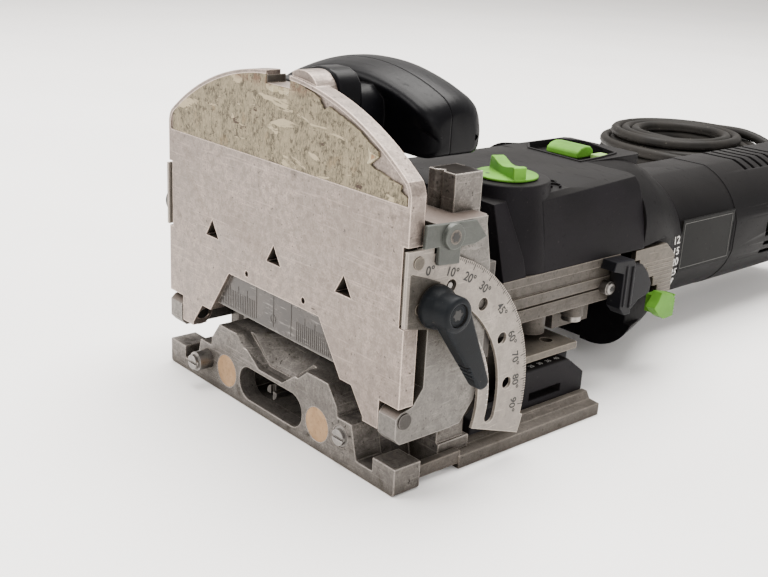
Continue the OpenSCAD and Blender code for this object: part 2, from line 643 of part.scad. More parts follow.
// Spindle arm: swings about an upright pin, so that the cutter sweeps from side to side
module spindle_arm() color([0.66, 0.66, 0.68]) difference() {
  union() {
    bar_y(0, cutter_z, 50, 99, 7.4);
    bar_y(0, cutter_z, 42, 50.1, 5.6);
    bar_z(0, swing_y, 1.2, 4, 3 - fit);
  }
  bar_y(0, cutter_z, 51, 100, 5.6);
  bar_y(0, cutter_z, 41, 51.1, 4.4);
  span([-9, 87, 8], [9, 97, 20]);
}
module spindle_bearings() color([0.72, 0.72, 0.74]) for (y = [52, 78]) difference() {
  bar_y(0, cutter_z, y, y + 5, 5.6);
  bar_y(0, cutter_z, y - 1, y + 6, 2.5 + fit);
}
module spindle() color([0.60, 0.60, 0.62]) {
  bar_y(0, cutter_z, 46, 98, 2.5);
  across(90.5, 93.5) translate([0, cutter_z]) gear_outline(12, 0);
  difference() {
    bar_y(0, cutter_z, 36, 46.5, 4);
    bar_y(0, cutter_z, 35, 45, 2);
  }
}
// Cutter with two spiral-free flutes and an end notch
module cutter() color([0.70, 0.70, 0.72]) difference() {
  union() {
    bar_y(0, cutter_z, 26, 45, 2);
    bar_y(0, cutter_z, 1, 26.1, 2.5);
  }
  for (a = [0, 180]) translate([0, 0, cutter_z]) rotate([0, a, 0]) {
    span([0.5, 0, 0.5], [3, 22, 3]);
    span([-0.7, 0.9, -3], [0.7, 2.2, 0]);
  }
}

// ---------- cord ----------

module cord_socket() color([0.13, 0.13, 0.14]) {
  bar_y(0, motor_z - 3, motor_end - 4, motor_end + 6, 9);
  bar_y(0, motor_z - 3, motor_end + 1.2, motor_end + 5, 11);
}
module strain_relief() color([0.09, 0.09, 0.10]) translate(exit_p)
  rotate([-90, 0, 0]) cylinder(h = 30, r1 = 6.6, r2 = 4.6);

function unit(v) = v / norm(v);
function tangent(p, i) = unit(p[min(i + 1, len(p) - 1)] - p[max(i - 1, 0)]);
module tube_along(p, r, k) {
  pts = [for (i = [0 : len(p) - 1]) let (t = tangent(p, i), u = unit(cross(t, [0, 0, 1])), v = cross(u, t))
         for (j = [0 : k - 1]) p[i] + r * (cos(360 * j / k) * u + sin(360 * j / k) * v)];
  n = len(p) - 1;
  polyhedron(pts, concat([[for (j = [0 : k - 1]) j]],
    [for (i = [0 : n - 1], j = [0 : k - 1])
      [i * k + (j + 1) % k, i * k + j, (i + 1) * k + j, (i + 1) * k + (j + 1) % k]],
    [[for (j = [k - 1 : -1 : 0]) n * k + j]]), convexity = 6);
}
module cord_tube() color([0.08, 0.08, 0.08]) tube_along(cord_path, cord_d / 2, 10);
module cord_coil() color([0.08, 0.08, 0.08]) translate([coil_c[0], coil_c[1], 0])
  rotate_extrude($fn = 64) translate([coil_r - coil_w / 2, 0]) square([coil_w, coil_w]);

// Moulded plug with two round pins
module mains_plug() color([0.09, 0.09, 0.09]) translate(plug) {
  rotate([0, 90, 0]) cylinder(h = 12, r1 = 6, r2 = 14);
  bar_x(0, 0, 12, 42, 18);
  for (y = [-9.5, 9.5]) bar_x(y, 0, 41.9, 61, 2.4);
}

// ---------- assembly ----------
front_casting();
base_plate();
contact_pads();
guide_rods();
return_springs();
dust_port();
gauge_bracket();
base_screws();
stop_pin_left();
stop_pin_right();
stop_pin_spring();
step_gauge();
fence_carriage();
pointer_plate();
hinge_pins();
column_keepers();
angle_clamp_stud();
height_clamp_stud();
angle_lever();
angle_lever_screw();
height_lever();
height_lever_screw();
fence_plate();
fence_lining();
sight_window();
protractor();
side_plate();
fence_rivets();
handle_front();
handle_rear();
handle_screws();
gear_housing();
top_cover();
depth_collar();
motor_housing();
rear_grip();
rating_plate();
rod_bushes();
motor_bearings();
stator();
brush_holders();
switch_block();
housing_screws();
depth_steps();
depth_bracket();
depth_latch();
width_knob();
power_slider();
armature();
cooling_fan();
idler_gear();
spindle_arm();
spindle_bearings();
spindle();
cutter();
cord_socket();
strain_relief();
cord_tube();
cord_coil();
mains_plug();
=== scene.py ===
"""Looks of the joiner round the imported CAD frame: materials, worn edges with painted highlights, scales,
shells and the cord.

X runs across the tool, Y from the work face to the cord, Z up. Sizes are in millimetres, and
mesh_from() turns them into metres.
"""

import json
from math import cos, degrees, dist, pi, radians, sin, sqrt

import bmesh
import bpy
from mathutils import Matrix, Vector, noise


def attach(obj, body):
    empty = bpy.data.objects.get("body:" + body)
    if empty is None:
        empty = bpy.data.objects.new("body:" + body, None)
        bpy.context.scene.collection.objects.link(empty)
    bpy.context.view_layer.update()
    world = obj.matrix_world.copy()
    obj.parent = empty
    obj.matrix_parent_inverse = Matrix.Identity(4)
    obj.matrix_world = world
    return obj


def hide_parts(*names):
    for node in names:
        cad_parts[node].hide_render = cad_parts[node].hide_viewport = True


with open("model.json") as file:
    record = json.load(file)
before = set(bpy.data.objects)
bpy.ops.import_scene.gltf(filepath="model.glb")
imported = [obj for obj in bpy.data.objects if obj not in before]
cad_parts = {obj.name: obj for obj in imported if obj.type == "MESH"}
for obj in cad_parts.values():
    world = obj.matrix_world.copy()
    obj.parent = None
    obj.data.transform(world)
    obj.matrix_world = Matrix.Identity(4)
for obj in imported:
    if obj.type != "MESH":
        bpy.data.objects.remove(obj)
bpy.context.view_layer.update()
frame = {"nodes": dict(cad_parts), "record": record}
MM = 0.001

# Sizes that the CAD model shares with the pieces made here
PIVOT_Y, PIVOT_Z = 3, 23.5  # fence hinge
SCALE_X = 62.8  # outer face of the protractor
SCALE_ZERO = 7.7  # where its zero lies, in degrees from upright
MOTOR_Z = 37
CORD_D = 7
EXIT = (0, 318, 34)
HANDLE_TOP, HANDLE_LOW, HANDLE_ARCH = 117, 91.6, 84  # crest, underside and radius of the handle's arch
HANDLE_SEAM, HANDLE_Y = 36.5, 39.6  # y of the seam and of the middle of the grip
KNOB = (25, 77.5)
PIN = (37, 9.5)  # x and z of the right stop pin
CLAMP = (9.68, 57.86)  # y and z of the clamp bolts
LEVER_TIP = (12, -22.6)  # middle of a lever's tip, from its bolt
ROUTE = [EXIT, (0, 333, 34), (0, 348, 34), (0, 362, 32), (-1, 376, 28), (-4, 390, 22), (-9, 402, 15.5),
         (-17, 412, 9.5), (-28, 419.5, 5.5), (-42, 423.5, 4), (-58, 425, 3.5), (-75, 425.5, 3.5),
         (-92, 425.5, 3.5), (-110, 425.5, 3.5), (-130, 425.5, 3.5), (-149, 425.5, 3.5)]
COIL_CENTRE = (-172, 478)
COIL_TURNS = 14.5
COIL_RADII = (52.5, 45.5, 38.5, 31.5)  # the four turns of one layer, from outside in
PLUG = (-112, 523.5, 18)  # where the cord enters its plug


def linked(name, data):
    """New object in the scene."""
    thing = bpy.data.objects.new(name, data)
    bpy.context.scene.collection.objects.link(thing)
    return thing


# ---------------------------------------------------------------- camera

def make_camera():
    """The photograph's view: 48 degrees to the right of the work face, 19 degrees down."""
    data = bpy.data.cameras.new("camera")
    data.sensor_width = 36
    data.lens = 50.72
    data.clip_start, data.clip_end = 0.01, 20
    camera = linked("camera", data)
    azimuth, pitch, roll = (radians(a) for a in (48.063, 18.8, 3.168))
    forward = Vector((-sin(azimuth) * cos(pitch), cos(azimuth) * cos(pitch), -sin(pitch)))
    right = forward.cross(Vector((0, 0, 1))).normalized()
    up = right.cross(forward)
    right, up = right * cos(roll) + up * sin(roll), up * cos(roll) - right * sin(roll)
    turn = Matrix((right, up, -forward)).transposed()
    camera.matrix_world = Matrix.Translation((0.263927, -0.189391, 0.158125)) @ turn.to_4x4()
    bpy.context.scene.camera = camera


make_camera()


# ---------------------------------------------------------------- materials

class Shader:
    """One procedural material, with a short call for each kind of node that it uses."""

    def __init__(self, name):
        self.material = bpy.data.materials.new(name)
        self.material.use_nodes = True
        self.tree = self.material.node_tree
        self.tree.nodes.clear()
        self.place = self.add("TexCoord").outputs["Object"]

    def add(self, kind, inputs=(), **settings):
        node = self.tree.nodes.new("ShaderNode" + kind)
        for key, value in settings.items():
            setattr(node, key, value)
        for key, value in dict(inputs).items():
            if isinstance(value, bpy.types.NodeSocket):
                self.tree.links.new(value, node.inputs[key])
            elif isinstance(value, tuple) and len(value) == 3 and len(node.inputs[key].default_value) == 4:
                node.inputs[key].default_value = (*value, 1)
            else:
                node.inputs[key].default_value = value
        return node

    def stretched(self, scale, turn=(0, 0, 0)):
        return self.add("Mapping", {"Vector": self.place, "Scale": scale,
                                              "Rotation": tuple(radians(a) for a in turn)}).outputs[0]

    def noise(self, scale, detail=4.0, rough=0.6, place=None, distortion=0.0):
        """Noise from 0 to 1. scale is in waves per metre."""
        return self.add("TexNoise", {"Vector": place or self.place, "Scale": scale, "Detail": detail,
                                               "Roughness": rough, "Distortion": distortion}).outputs["Fac"]

    def ramp(self, value, low, high, start=0.0, end=1.0):
        """value from low to high, smoothly to the range from start to end."""
        return self.add("MapRange", {"Value": value, "From Min": low, "From Max": high, "To Min": start,
                                               "To Max": end}, interpolation_type="SMOOTHSTEP").outputs[0]

    def math(self, operation, a, b):
        return self.add("Math", {0: a, 1: b}, operation=operation).outputs[0]

    def times(self, a, b):
        return self.math("MULTIPLY", a, b)

    def plus(self, a, b):
        return self.math("ADD", a, b)

    def mix(self, amount, a, b):
        return self.add("Mix", {0: amount, 6: a, 7: b}, data_type="RGBA").outputs[2]

    def over(self, body, mask, amount, colour):
        return self.mix(self.times(mask, amount), body, colour)

    def edges(self, radius):
        """1 on edges and corners, 0 on plain faces."""
        soft = self.add("Bevel", {"Radius": radius}, samples=6).outputs[0]
        plain = self.add("NewGeometry").outputs["Normal"]
        same = self.add("VectorMath", {0: soft, 1: plain}, operation="DOT_PRODUCT").outputs["Value"]
        return self.ramp(same, 0.995, 0.86)

    def crevices(self, distance):
        """1 in corners that light and cloths don't reach, 0 in the open."""
        seen = self.add("AmbientOcclusion", {"Distance": distance}, samples=6).outputs["AO"]
        return self.ramp(seen, 0.75, 0.25)

    def upward(self, low, high):
        """1 on faces that look up, 0 on the others."""
        normal = self.add("TexCoord").outputs["Normal"]
        return self.ramp(self.add("SeparateXYZ", {"Vector": normal}).outputs["Z"], low, high)

    def bump(self, height, strength, distance, normal=None):
        inputs = {"Height": height, "Strength": strength, "Distance": distance}
        if normal:
            inputs["Normal"] = normal
        return self.add("Bump", inputs).outputs[0]

    def finish(self, colour, rough, gloss=0.5, **inputs):
        inputs.update({"Base Color": colour, "Roughness": rough, "Specular IOR Level": gloss})
        surface = self.add("BsdfPrincipled", inputs)
        end = self.add("OutputMaterial")
        self.tree.links.new(surface.outputs[0], end.inputs[0])
        return self.material


def scaled(colour, factor):
    return tuple(min(1, c * factor) for c in colour)


def worn_metal(name, colour, rough=0.42, cast=0.4, scratched=0.5, dirt_and_shade=0.5, bright=1.25, metallic=0.85,
               top=None):
    """Bare alloy or steel: blotches, soiling and painted shade in corners, fine scratches and bright rubbed
    edges with a painted highlight.
    """
    s = Shader(name)
    blotches = s.noise(45, 5, 0.65)
    grain = s.noise(1400, 3, 0.7)
    pits = s.ramp(s.noise(700, 2, 0.5), 0.66, 0.74)
    scratches = s.ramp(s.noise(60, 3, 0.5, s.stretched((1, 2, 26), (14, 30, 8))), 0.60, 0.68)
    crossed = s.ramp(s.noise(70, 2, 0.5, s.stretched((24, 3, 1), (4, 18, 25))), 0.63, 0.70)
    edge = s.edges(0.0007)
    mottle = s.noise(330, 5, 0.72)
    specks = s.ramp(s.noise(1000, 3, 0.6), 0.62, 0.70)
    body = s.mix(s.ramp(blotches, 0.35, 0.68), scaled(colour, 0.74), scaled(colour, 1.14))
    body = s.mix(s.ramp(s.noise(17, 3, 0.6), 0.38, 0.66, 0, 0.8), body, scaled(colour, 0.70))
    body = s.mix(s.times(s.ramp(mottle, 0.40, 0.62), 0.25 + 0.5 * cast), body, scaled(colour, 0.46))
    body = s.mix(s.times(s.ramp(grain, 0.4, 0.62), 0.45 * cast + 0.12), body, scaled(colour, 0.46))
    body = s.over(body, pits, 0.8 * cast, scaled(colour, 0.12))
    body = s.over(body, specks, 0.7 * dirt_and_shade, scaled(colour, 0.18))
    body = s.over(body, scratches, 0.55 * scratched, scaled(colour, 1.55))
    body = s.over(body, crossed, 0.6 * scratched, scaled(colour, 0.45))
    if top:
        body = s.mix(s.times(s.upward(0.5, 0.9), 0.8), body, top)
    # Soiling patches plus painted shade: the occlusion mask darkens corners and recesses towards brown-black.
    grime_and_shade = s.times(s.plus(s.times(s.crevices(0.010), 1.4), s.ramp(s.noise(150, 6, 0.72), 0.54, 0.70, 0,
                                                                   0.5)), dirt_and_shade)
    body = s.mix(s.ramp(grime_and_shade, 0, 1.2), body, (0.035, 0.028, 0.020))
    # Lighter edges: rubbed wear plus a painted highlight along them.
    body = s.over(body, edge, 0.75, scaled(colour, bright))
    height = s.plus(s.times(grain, cast), s.times(scratches, -0.6 * scratched))
    normal = s.bump(height, 0.22 + 0.3 * cast, 0.0002, s.add("Bevel", {"Radius": 0.0004},
                                                             samples=4).outputs[0])
    shine = s.ramp(s.plus(blotches, s.times(grime_and_shade, 0.6)), 0.3, 1.1, rough, min(1, rough + 0.3))
    return s.finish(body, shine, Metallic=metallic, Normal=normal)


def moulded(name, colour, rough=0.5, texture=0.5, dust=0.35, scuffs=0.4, edge_gain=1.9, top=None,
            gloss=0.075):
    """Moulded plastic: fine texture, dust in corners, pale rubbed edges and scuffs."""
    s = Shader(name)
    blotches = s.noise(38, 4, 0.6)
    fine = s.noise(2600, 2, 0.5)
    scuff = s.ramp(s.noise(110, 4, 0.62, s.stretched((1, 4, 5), (20, 12, 40))), 0.60, 0.72)
    specks = s.ramp(s.noise(900, 2, 0.5), 0.70, 0.76)
    edge = s.edges(0.0006)
    body = s.mix(s.ramp(blotches, 0.3, 0.7), scaled(colour, 0.75), scaled(colour, 1.35))
    body = s.over(body, scuff, 0.35 * scuffs, scaled(colour, 2.4))
    body = s.over(body, specks, 0.5 * dust, (0.14, 0.125, 0.105))
    body = s.mix(s.times(s.crevices(0.004), 0.5 * dust), body, (0.10, 0.085, 0.065))
    # Lighter upward faces: patchy dust plus painted light from above.
    if top:
        patchy = s.ramp(s.noise(55, 5, 0.65), 0.25, 0.7, 0.55, 1)
        body = s.mix(s.times(s.upward(0.35, 0.85), patchy), body, top)
    body = s.over(body, edge, 0.5, scaled(colour, edge_gain))
    soft = s.add("Bevel", {"Radius": 0.0006}, samples=4).outputs[0]
    normal = s.bump(s.plus(fine, s.times(scuff, -0.4)), 0.35 * texture, 0.00015, soft)
    shine = s.ramp(s.plus(blotches, s.times(scuff, 0.5)), 0.2, 1.1, rough - 0.07, rough + 0.14)
    return s.finish(body, shine, gloss, Normal=normal)


def rubber(name, colour):
    """Cord rubber: faint length-wise smears, dust and small light nicks."""
    s = Shader(name)
    smear = s.noise(70, 4, 0.6)
    nicks = s.ramp(s.noise(420, 2, 0.5), 0.70, 0.76)
    body = s.mix(s.ramp(smear, 0.35, 0.7), scaled(colour, 0.8), scaled(colour, 1.7))
    body = s.over(body, nicks, 0.45, (0.12, 0.11, 0.095))
    normal = s.bump(s.noise(900, 3, 0.6), 0.12, 0.0002)
    return s.finish(body, s.ramp(smear, 0.3, 0.8, 0.48, 0.70), 0.12, Normal=normal)


def flecked_pad(name):
    """Tan rubber pads with brown flecks, darker in occluded corners as painted shade."""
    s = Shader(name)
    flecks = s.ramp(s.noise(900, 3, 0.6), 0.56, 0.68)
    body = s.mix(s.ramp(s.noise(160, 4, 0.6), 0.35, 0.7), (0.25, 0.145, 0.068), (0.34, 0.215, 0.112))
    body = s.over(body, flecks, 0.55, (0.15, 0.085, 0.035))
    # Darker where occlusion is high: painted shade.
    body = s.mix(s.ramp(s.crevices(0.0015), 0.1, 1), body, (0.16, 0.11, 0.07))
    return s.finish(body, 0.75, Normal=s.bump(flecks, 0.3, 0.0001))


def plain_mark(name, colour):
    """Printed or engraved lines: nearly even, with worn patches."""
    s = Shader(name)
    worn = s.ramp(s.noise(800, 3, 0.6), 0.50, 0.72, 0, 0.4)
    return s.finish(s.mix(worn, colour, tuple(0.8 * c + 0.02 for c in colour)), 0.6)


def milky_window(name):
    """Scratched clear plastic that has gone grey."""
    s = Shader(name)
    haze = s.noise(120, 4, 0.65)
    scratches = s.ramp(s.noise(80, 3, 0.5, s.stretched((2, 1, 22), (6, 25, 10))), 0.60, 0.68)
    body = s.mix(s.ramp(haze, 0.3, 0.7), (0.034, 0.029, 0.026), (0.060, 0.051, 0.045))
    body = s.over(body, scratches, 0.5, (0.26, 0.24, 0.22))
    edge = s.edges(0.0006)
    body = s.over(body, edge, 0.6, (0.3, 0.28, 0.25))
    return s.finish(body, s.ramp(haze, 0.3, 0.8, 0.2, 0.4), 0.25, Normal=s.bump(scratches, 0.15, 0.0001))


def old_lining(name, tones=((0.062, 0.051, 0.030), (0.190, 0.158, 0.100))):
    """Foam-backed strip: grey-olive mottling, brown stains, pale torn streaks and a painted brown shadow
    along the top edge.
    """
    s = Shader(name)
    mottle = s.noise(240, 6, 0.7, s.stretched((1, 1, 0.55)))
    fine = s.noise(1100, 4, 0.7, s.stretched((1.6, 1, 0.6)))
    stains = s.ramp(s.noise(75, 4, 0.6, distortion=0.6), 0.58, 0.70)
    streaks = s.ramp(s.noise(62, 4, 0.6, s.stretched((0.9, 1, 3.0), (0, 16, 0)), 1.2), 0.60, 0.64)
    spots = s.ramp(s.noise(150, 5, 0.75, s.stretched((0.7, 1, 1.5), (0, 12, 0))), 0.61, 0.64)
    body = s.mix(s.ramp(mottle, 0.38, 0.62), *tones)
    body = s.mix(s.ramp(fine, 0.42, 0.60, 0, 0.75), body, (0.26, 0.215, 0.135))
    body = s.mix(s.ramp(s.noise(420, 4, 0.75), 0.54, 0.60, 0, 0.85), body, (0.045, 0.034, 0.019))
    body = s.over(body, streaks, 0.85, (0.38, 0.315, 0.20))
    body = s.over(body, stains, 0.5, (0.16, 0.10, 0.04))
    body = s.over(body, spots, 0.95, (0.030, 0.014, 0.007))
    # Brown band near the top edge, under the fence rim: painted shadow.
    high = s.ramp(s.add("SeparateXYZ", {"Vector": s.place}).outputs["Z"], 0.1075, 0.1115)
    brown = s.times(high, s.ramp(s.noise(260, 4, 0.7), 0.45, 0.60))
    body = s.over(body, brown, 0.7, (0.085, 0.030, 0.014))
    normal = s.bump(s.plus(fine, streaks), 0.5, 0.0003)
    return s.finish(body, 0.85, Normal=normal)


MATERIALS = {
    "cast": worn_metal("cast_alloy", (0.185, 0.166, 0.149), 0.46, cast=1.2, scratched=0.6, dirt_and_shade=1.4,
                       bright=3.2, metallic=0.7),
    "sand_cast": worn_metal("sand_cast_alloy", (0.20, 0.185, 0.168), 0.5, cast=0.8, scratched=0.5, dirt_and_shade=0.9,
                            bright=1.8,
                            metallic=0.65, top=(0.115, 0.085, 0.07)),
    "rail": worn_metal("rail_alloy", (0.108, 0.092, 0.078), 0.5, cast=0.9, scratched=0.5, dirt_and_shade=1.3,
                       bright=3.0, metallic=0.6),
    "fence": worn_metal("fence_alloy", (0.32, 0.262, 0.226), 0.40, cast=1.0, scratched=0.4, dirt_and_shade=0.8,
                        bright=2.3, metallic=0.75),
    "gearbox": worn_metal("gearbox_alloy", (0.098, 0.085, 0.072), 0.55, cast=0.7, scratched=0.4, dirt_and_shade=1.0,
                          bright=2.2, metallic=0.55),
    "steel": worn_metal("ground_steel", (0.27, 0.255, 0.24), 0.28, cast=0.1, scratched=0.6, dirt_and_shade=0.8,
                        metallic=0.95),
    "dark_steel": worn_metal("dark_steel", (0.058, 0.053, 0.049), 0.38, cast=0.3, scratched=0.5, dirt_and_shade=0.6,
                             bright=2.6, metallic=0.9),
    "spring": worn_metal("spring_steel", (0.25, 0.255, 0.26), 0.3, cast=0.1, scratched=0.2, dirt_and_shade=0.3,
                         metallic=0.95),
    "sheet": worn_metal("sheet_steel", (0.115, 0.10, 0.082), 0.42, cast=0.4, scratched=0.7, dirt_and_shade=0.9,
                        bright=2.2, metallic=0.75),
    # Bare metal, darkened in part as a painted shadow of the lever.
    "bare_and_shaded_side": worn_metal("bare_and_shaded_side_plate", (0.082, 0.073, 0.062), 0.5, cast=0.7, scratched=0.6, dirt_and_shade=1.1,
                            metallic=0.6),
    "bronze": worn_metal("sintered_bronze", (0.40, 0.26, 0.10), 0.4, cast=0.5, scratched=0.2, dirt_and_shade=0.3,
                         metallic=0.95),
    "copper": worn_metal("varnished_windings", (0.30, 0.12, 0.045), 0.3, cast=0.6, scratched=0.3, dirt_and_shade=0.2,
                         metallic=0.7),
    "enamel": worn_metal("scale_enamel", (0.30, 0.262, 0.225), 0.5, cast=0.35, scratched=0.5, dirt_and_shade=0.55,
                         bright=1.6, metallic=0.25),
    "olive": worn_metal("pointer_enamel", (0.052, 0.056, 0.049), 0.42, cast=0.2, scratched=0.6, dirt_and_shade=0.25,
                        bright=2.8, metallic=0.35),
    # The top colours of these plastics: dust plus painted light from above.
    "black": moulded("black_plastic", (0.0048, 0.0041, 0.0051), 0.50, texture=0.8, dust=0.14,
                     top=(0.0072, 0.0066, 0.0066)),
    "bracket": moulded("bracket_plastic", (0.0055, 0.0055, 0.0068), 0.44, texture=0.6, dust=0.25,
                       edge_gain=4.0),
    "black_top": moulded("dusty_black_plastic_painted_top_light", (0.0048, 0.0041, 0.0051), 0.52, texture=0.9, dust=0.16,
                         top=(0.0056, 0.0050, 0.0049)),
    "barrel": moulded("satin_black_plastic", (0.0036, 0.0034, 0.0038), 0.44, texture=0.5, dust=0.1,
                      gloss=0.05, top=(0.0085, 0.0078, 0.0078)),
    "collar": moulded("collar_plastic", (0.0038, 0.0035, 0.0040), 0.55, texture=0.6, dust=0.08, gloss=0.03,
                      top=(0.0058, 0.0053, 0.0053)),
    "handle": moulded("handle_plastic", (0.0024, 0.0024, 0.0032), 0.38, texture=0.35, dust=0.06,
                      edge_gain=1.5,
                      top=(0.0048, 0.0048, 0.0055)),
    "lever": moulded("lever_plastic", (0.0066, 0.0078, 0.0094), 0.44, texture=0.8, dust=0.4, scuffs=0.9,
                     edge_gain=5.0),
    "green": moulded("green_plastic", (0.095, 0.255, 0.026), 0.40, texture=0.3, dust=0.25, edge_gain=1.3),
    "pale_green": moulded("pale_green_plastic", (0.25, 0.42, 0.12), 0.42, texture=0.3, dust=0.2,
                          edge_gain=1.1),
    "label": moulded("label_film", (0.0034, 0.0035, 0.0035), 0.40, texture=0.2, dust=0.25, edge_gain=2.2,
                     gloss=0.045),
    "cord": rubber("cord_rubber", (0.0085, 0.0075, 0.0065)),
    "grease": moulded("dried_grease_and_hole_shade", (0.010, 0.0085, 0.0075), 0.35, texture=0.9, dust=0.3),
    "pad": flecked_pad("pad_rubber"),
    "window": milky_window("scratched_window"),
    "lining": old_lining("old_lining"),
    "torn_foam": old_lining("torn_foam", ((0.30, 0.25, 0.14), (0.42, 0.37, 0.25))),
    "rusty_foam": old_lining("rusty_foam", ((0.17, 0.075, 0.03), (0.24, 0.12, 0.05))),
    "ink": plain_mark("black_ink", (0.006, 0.0055, 0.005)),
    "white_ink": plain_mark("white_ink", (0.42, 0.41, 0.39)),
    "engraved": plain_mark("engraved_lines", (0.030, 0.026, 0.022)),
    "dim_line": plain_mark("plate_border", (0.06, 0.06, 0.056)),
}


# ---------------------------------------------------------------- pieces

def add_piece(name, mesh, body, material, node=None, smooth=35):
    """Puts a mesh in the scene on a CAD body. node is the CAD node that it stands for, if any."""
    piece = linked(name, mesh)
    mesh.materials.clear()
    mesh.materials.append(MATERIALS[material])
    if smooth:
        mesh.shade_smooth()
        mesh.set_sharp_from_angle(angle=radians(smooth))
    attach(piece, body)
    if node:
        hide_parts(node)
    return piece


def mesh_from(name, corners, faces):
    """Mesh from corners in millimetres."""
    mesh = bpy.data.meshes.new(name)
    mesh.from_pydata([Vector(c) * MM for c in corners], [], faces)
    mesh.update()
    return mesh


def add_bevel(piece, width, angle=38):
    """Rounds the edges sharper than angle degrees, width millimetres wide."""
    bevel = piece.modifiers.new("edges", "BEVEL")
    bevel.width = width * MM
    bevel.segments = 2
    bevel.limit_method = "ANGLE"
    bevel.angle_limit = radians(angle)
    bevel.miter_outer = "MITER_ARC"
    bevel.harden_normals = True


def bevelled(node, material, width):
    """Stands for a CAD node: its shape with real rounded edges, width millimetres wide."""
    mesh = frame["nodes"][node].data.copy()
    mesh.name = node + "_worn"
    bm = bmesh.new()
    bm.from_mesh(mesh)
    bmesh.ops.remove_doubles(bm, verts=bm.verts, dist=0.01 * MM)
    bmesh.ops.dissolve_limit(bm, angle_limit=radians(0.5), verts=bm.verts, edges=bm.edges)
    bm.to_mesh(mesh)
    bm.free()
    add_bevel(add_piece(node + "_worn", mesh, body_of_node[node], material, node), width)


body_of_node = {n: b for b, members in frame["record"]["behaviour"]["bodies"].items() for n in members}

# CAD nodes that keep their own mesh, by material
KEPT = {
    "steel": ("guide_rods", "stop_pin_left", "stop_pin_right", "height_clamp_stud", "motor_bearings",
              "housing_screws", "idler_gear", "spindle_arm", "spindle_bearings", "spindle"),
    "dark_steel": ("base_screws", "hinge_pins", "column_keepers", "handle_screws", "cutter"),
    "spring": ("return_springs", "stop_pin_spring"),
    "sheet": ("gauge_bracket", "fence_rivets"),
    "olive": ("angle_clamp_stud",),
    "lever": ("angle_lever_screw", "height_lever_screw"),
    "bronze": ("rod_bushes", "brush_holders"),
    "copper": ("stator", "armature"),
    "black": ("switch_block", "cooling_fan", "cord_socket"),
    "enamel": ("protractor", "side_plate"),
    "pad": ("contact_pads",),
    "window": ("sight_window",),
    "label": ("rating_plate",),
}
for material, nodes in KEPT.items():
    for node in nodes:
        frame["nodes"][node].data.materials.clear()
        frame["nodes"][node].data.materials.append(MATERIALS[material])

# CAD nodes that get real rounded edges: material and width in millimetres
for node, (material, width) in {
    "front_casting": ("cast", 0.35), "base_plate": ("rail", 0.4), "dust_port": ("black", 0.4),
    "step_gauge": ("black_top", 0.5), "fence_carriage": ("sand_cast", 0.5), "pointer_plate": ("olive", 0.35),
    "fence_plate": ("fence", 0.35), "gear_housing": ("gearbox", 0.5), "motor_housing": ("barrel", 0.25),
    "rear_grip": ("barrel", 0.4), "depth_steps": ("sheet", 0.15), "depth_bracket": ("bracket", 0.9),
    "depth_latch": ("green", 0.35), "strain_relief": ("cord", 0.2), "mains_plug": ("cord", 1.5),
}.items():
    bevelled(node, material, width)


# ---------------------------------------------------------------- shapes

def put(axis, along, a, b):
    """Point with its place along an axis and its two other coordinates in order."""
    return {"x": (along, a, b), "y": (a, along, b), "z": (a, b, along)}[axis]


def prism(outline, low, high, axis):
    """An outline extruded along an axis. Shapes are pairs: corners in millimetres, and faces."""
    n = len(outline)
    corners = [put(axis, t, a, b) for t in (low, high) for a, b in outline]
    faces = [tuple(range(n)), tuple(range(n, 2 * n))[::-1]]
    return corners, faces + [(i, n + i, n + (i + 1) % n, (i + 1) % n) for i in range(n)]


def block(a, b):
    return prism([(a[1], a[2]), (b[1], a[2]), (b[1], b[2]), (a[1], b[2])], a[0], b[0], "x")


def circle(centre, radius, count):
    turns = [2 * pi * i / count for i in range(count)]
    return [(centre[0] + radius * cos(a), centre[1] + radius * sin(a)) for a in turns]


def disc(centre, radius, low, high, axis, radius_high=None, count=48):
    """Round bar or cone along an axis."""
    top = radius if radius_high is None else radius_high
    ends = ((low, radius), (high, top))
    corners = [put(axis, t, a, b) for t, r in ends for a, b in circle(centre, r, count)]
    return corners, prism([(0, 0)] * count, 0, 1, axis)[1]


def ring_part(centre, inner, outer, a0, a1):
    """Four corners of a short stretch of a ring, between two angles in radians."""
    return [(centre[0] + r * cos(a), centre[1] + r * sin(a))
            for r, a in ((outer, a0), (outer, a1), (inner, a1), (inner, a0))]


def hull(points):
    """Convex solid round points."""
    bm = bmesh.new()
    for point in points:
        bm.verts.new(point)
    bmesh.ops.convex_hull(bm, input=bm.verts)
    bm.verts.index_update()
    shape = ([tuple(v.co) for v in bm.verts], [tuple(v.index for v in f.verts) for f in bm.faces])
    bm.free()
    return shape


def loft(rings):
    """Skin over closed rings of equal counts, with capped ends."""
    n = len(rings[0])
    faces = [(k * n + i, (k + 1) * n + i, (k + 1) * n + (i + 1) % n, k * n + (i + 1) % n)
             for k in range(len(rings) - 1) for i in range(n)]
    last = n * (len(rings) - 1)
    return [p for ring in rings for p in ring], [tuple(range(n)), *faces,
                                                 tuple(last + i for i in range(n))[::-1]]


def torx(centre, radius, low, high, axis):
    """Six-lobed socket."""
    points = []
    for i in range(36):
        a = 2 * pi * i / 36
        r = radius * (1 + 0.17 * cos(6 * a))
        points.append((centre[0] + r * cos(a), centre[1] + r * sin(a)))
    return prism(points, low, high, axis)


def joined(shapes):
    corners, faces = [], []
    for shape_corners, shape_faces in shapes:
        start = len(corners)
        corners += shape_corners
        faces += [tuple(start + i for i in face) for face in shape_faces]
    return corners, faces


def solid_mesh(name, shapes):
    mesh = mesh_from(name, *joined(shapes))
    bm = bmesh.new()
    bm.from_mesh(mesh)
    bmesh.ops.remove_doubles(bm, verts=bm.verts, dist=0.002 * MM)
    bmesh.ops.recalc_face_normals(bm, faces=bm.faces)
    bm.to_mesh(mesh)
    bm.free()
    return mesh


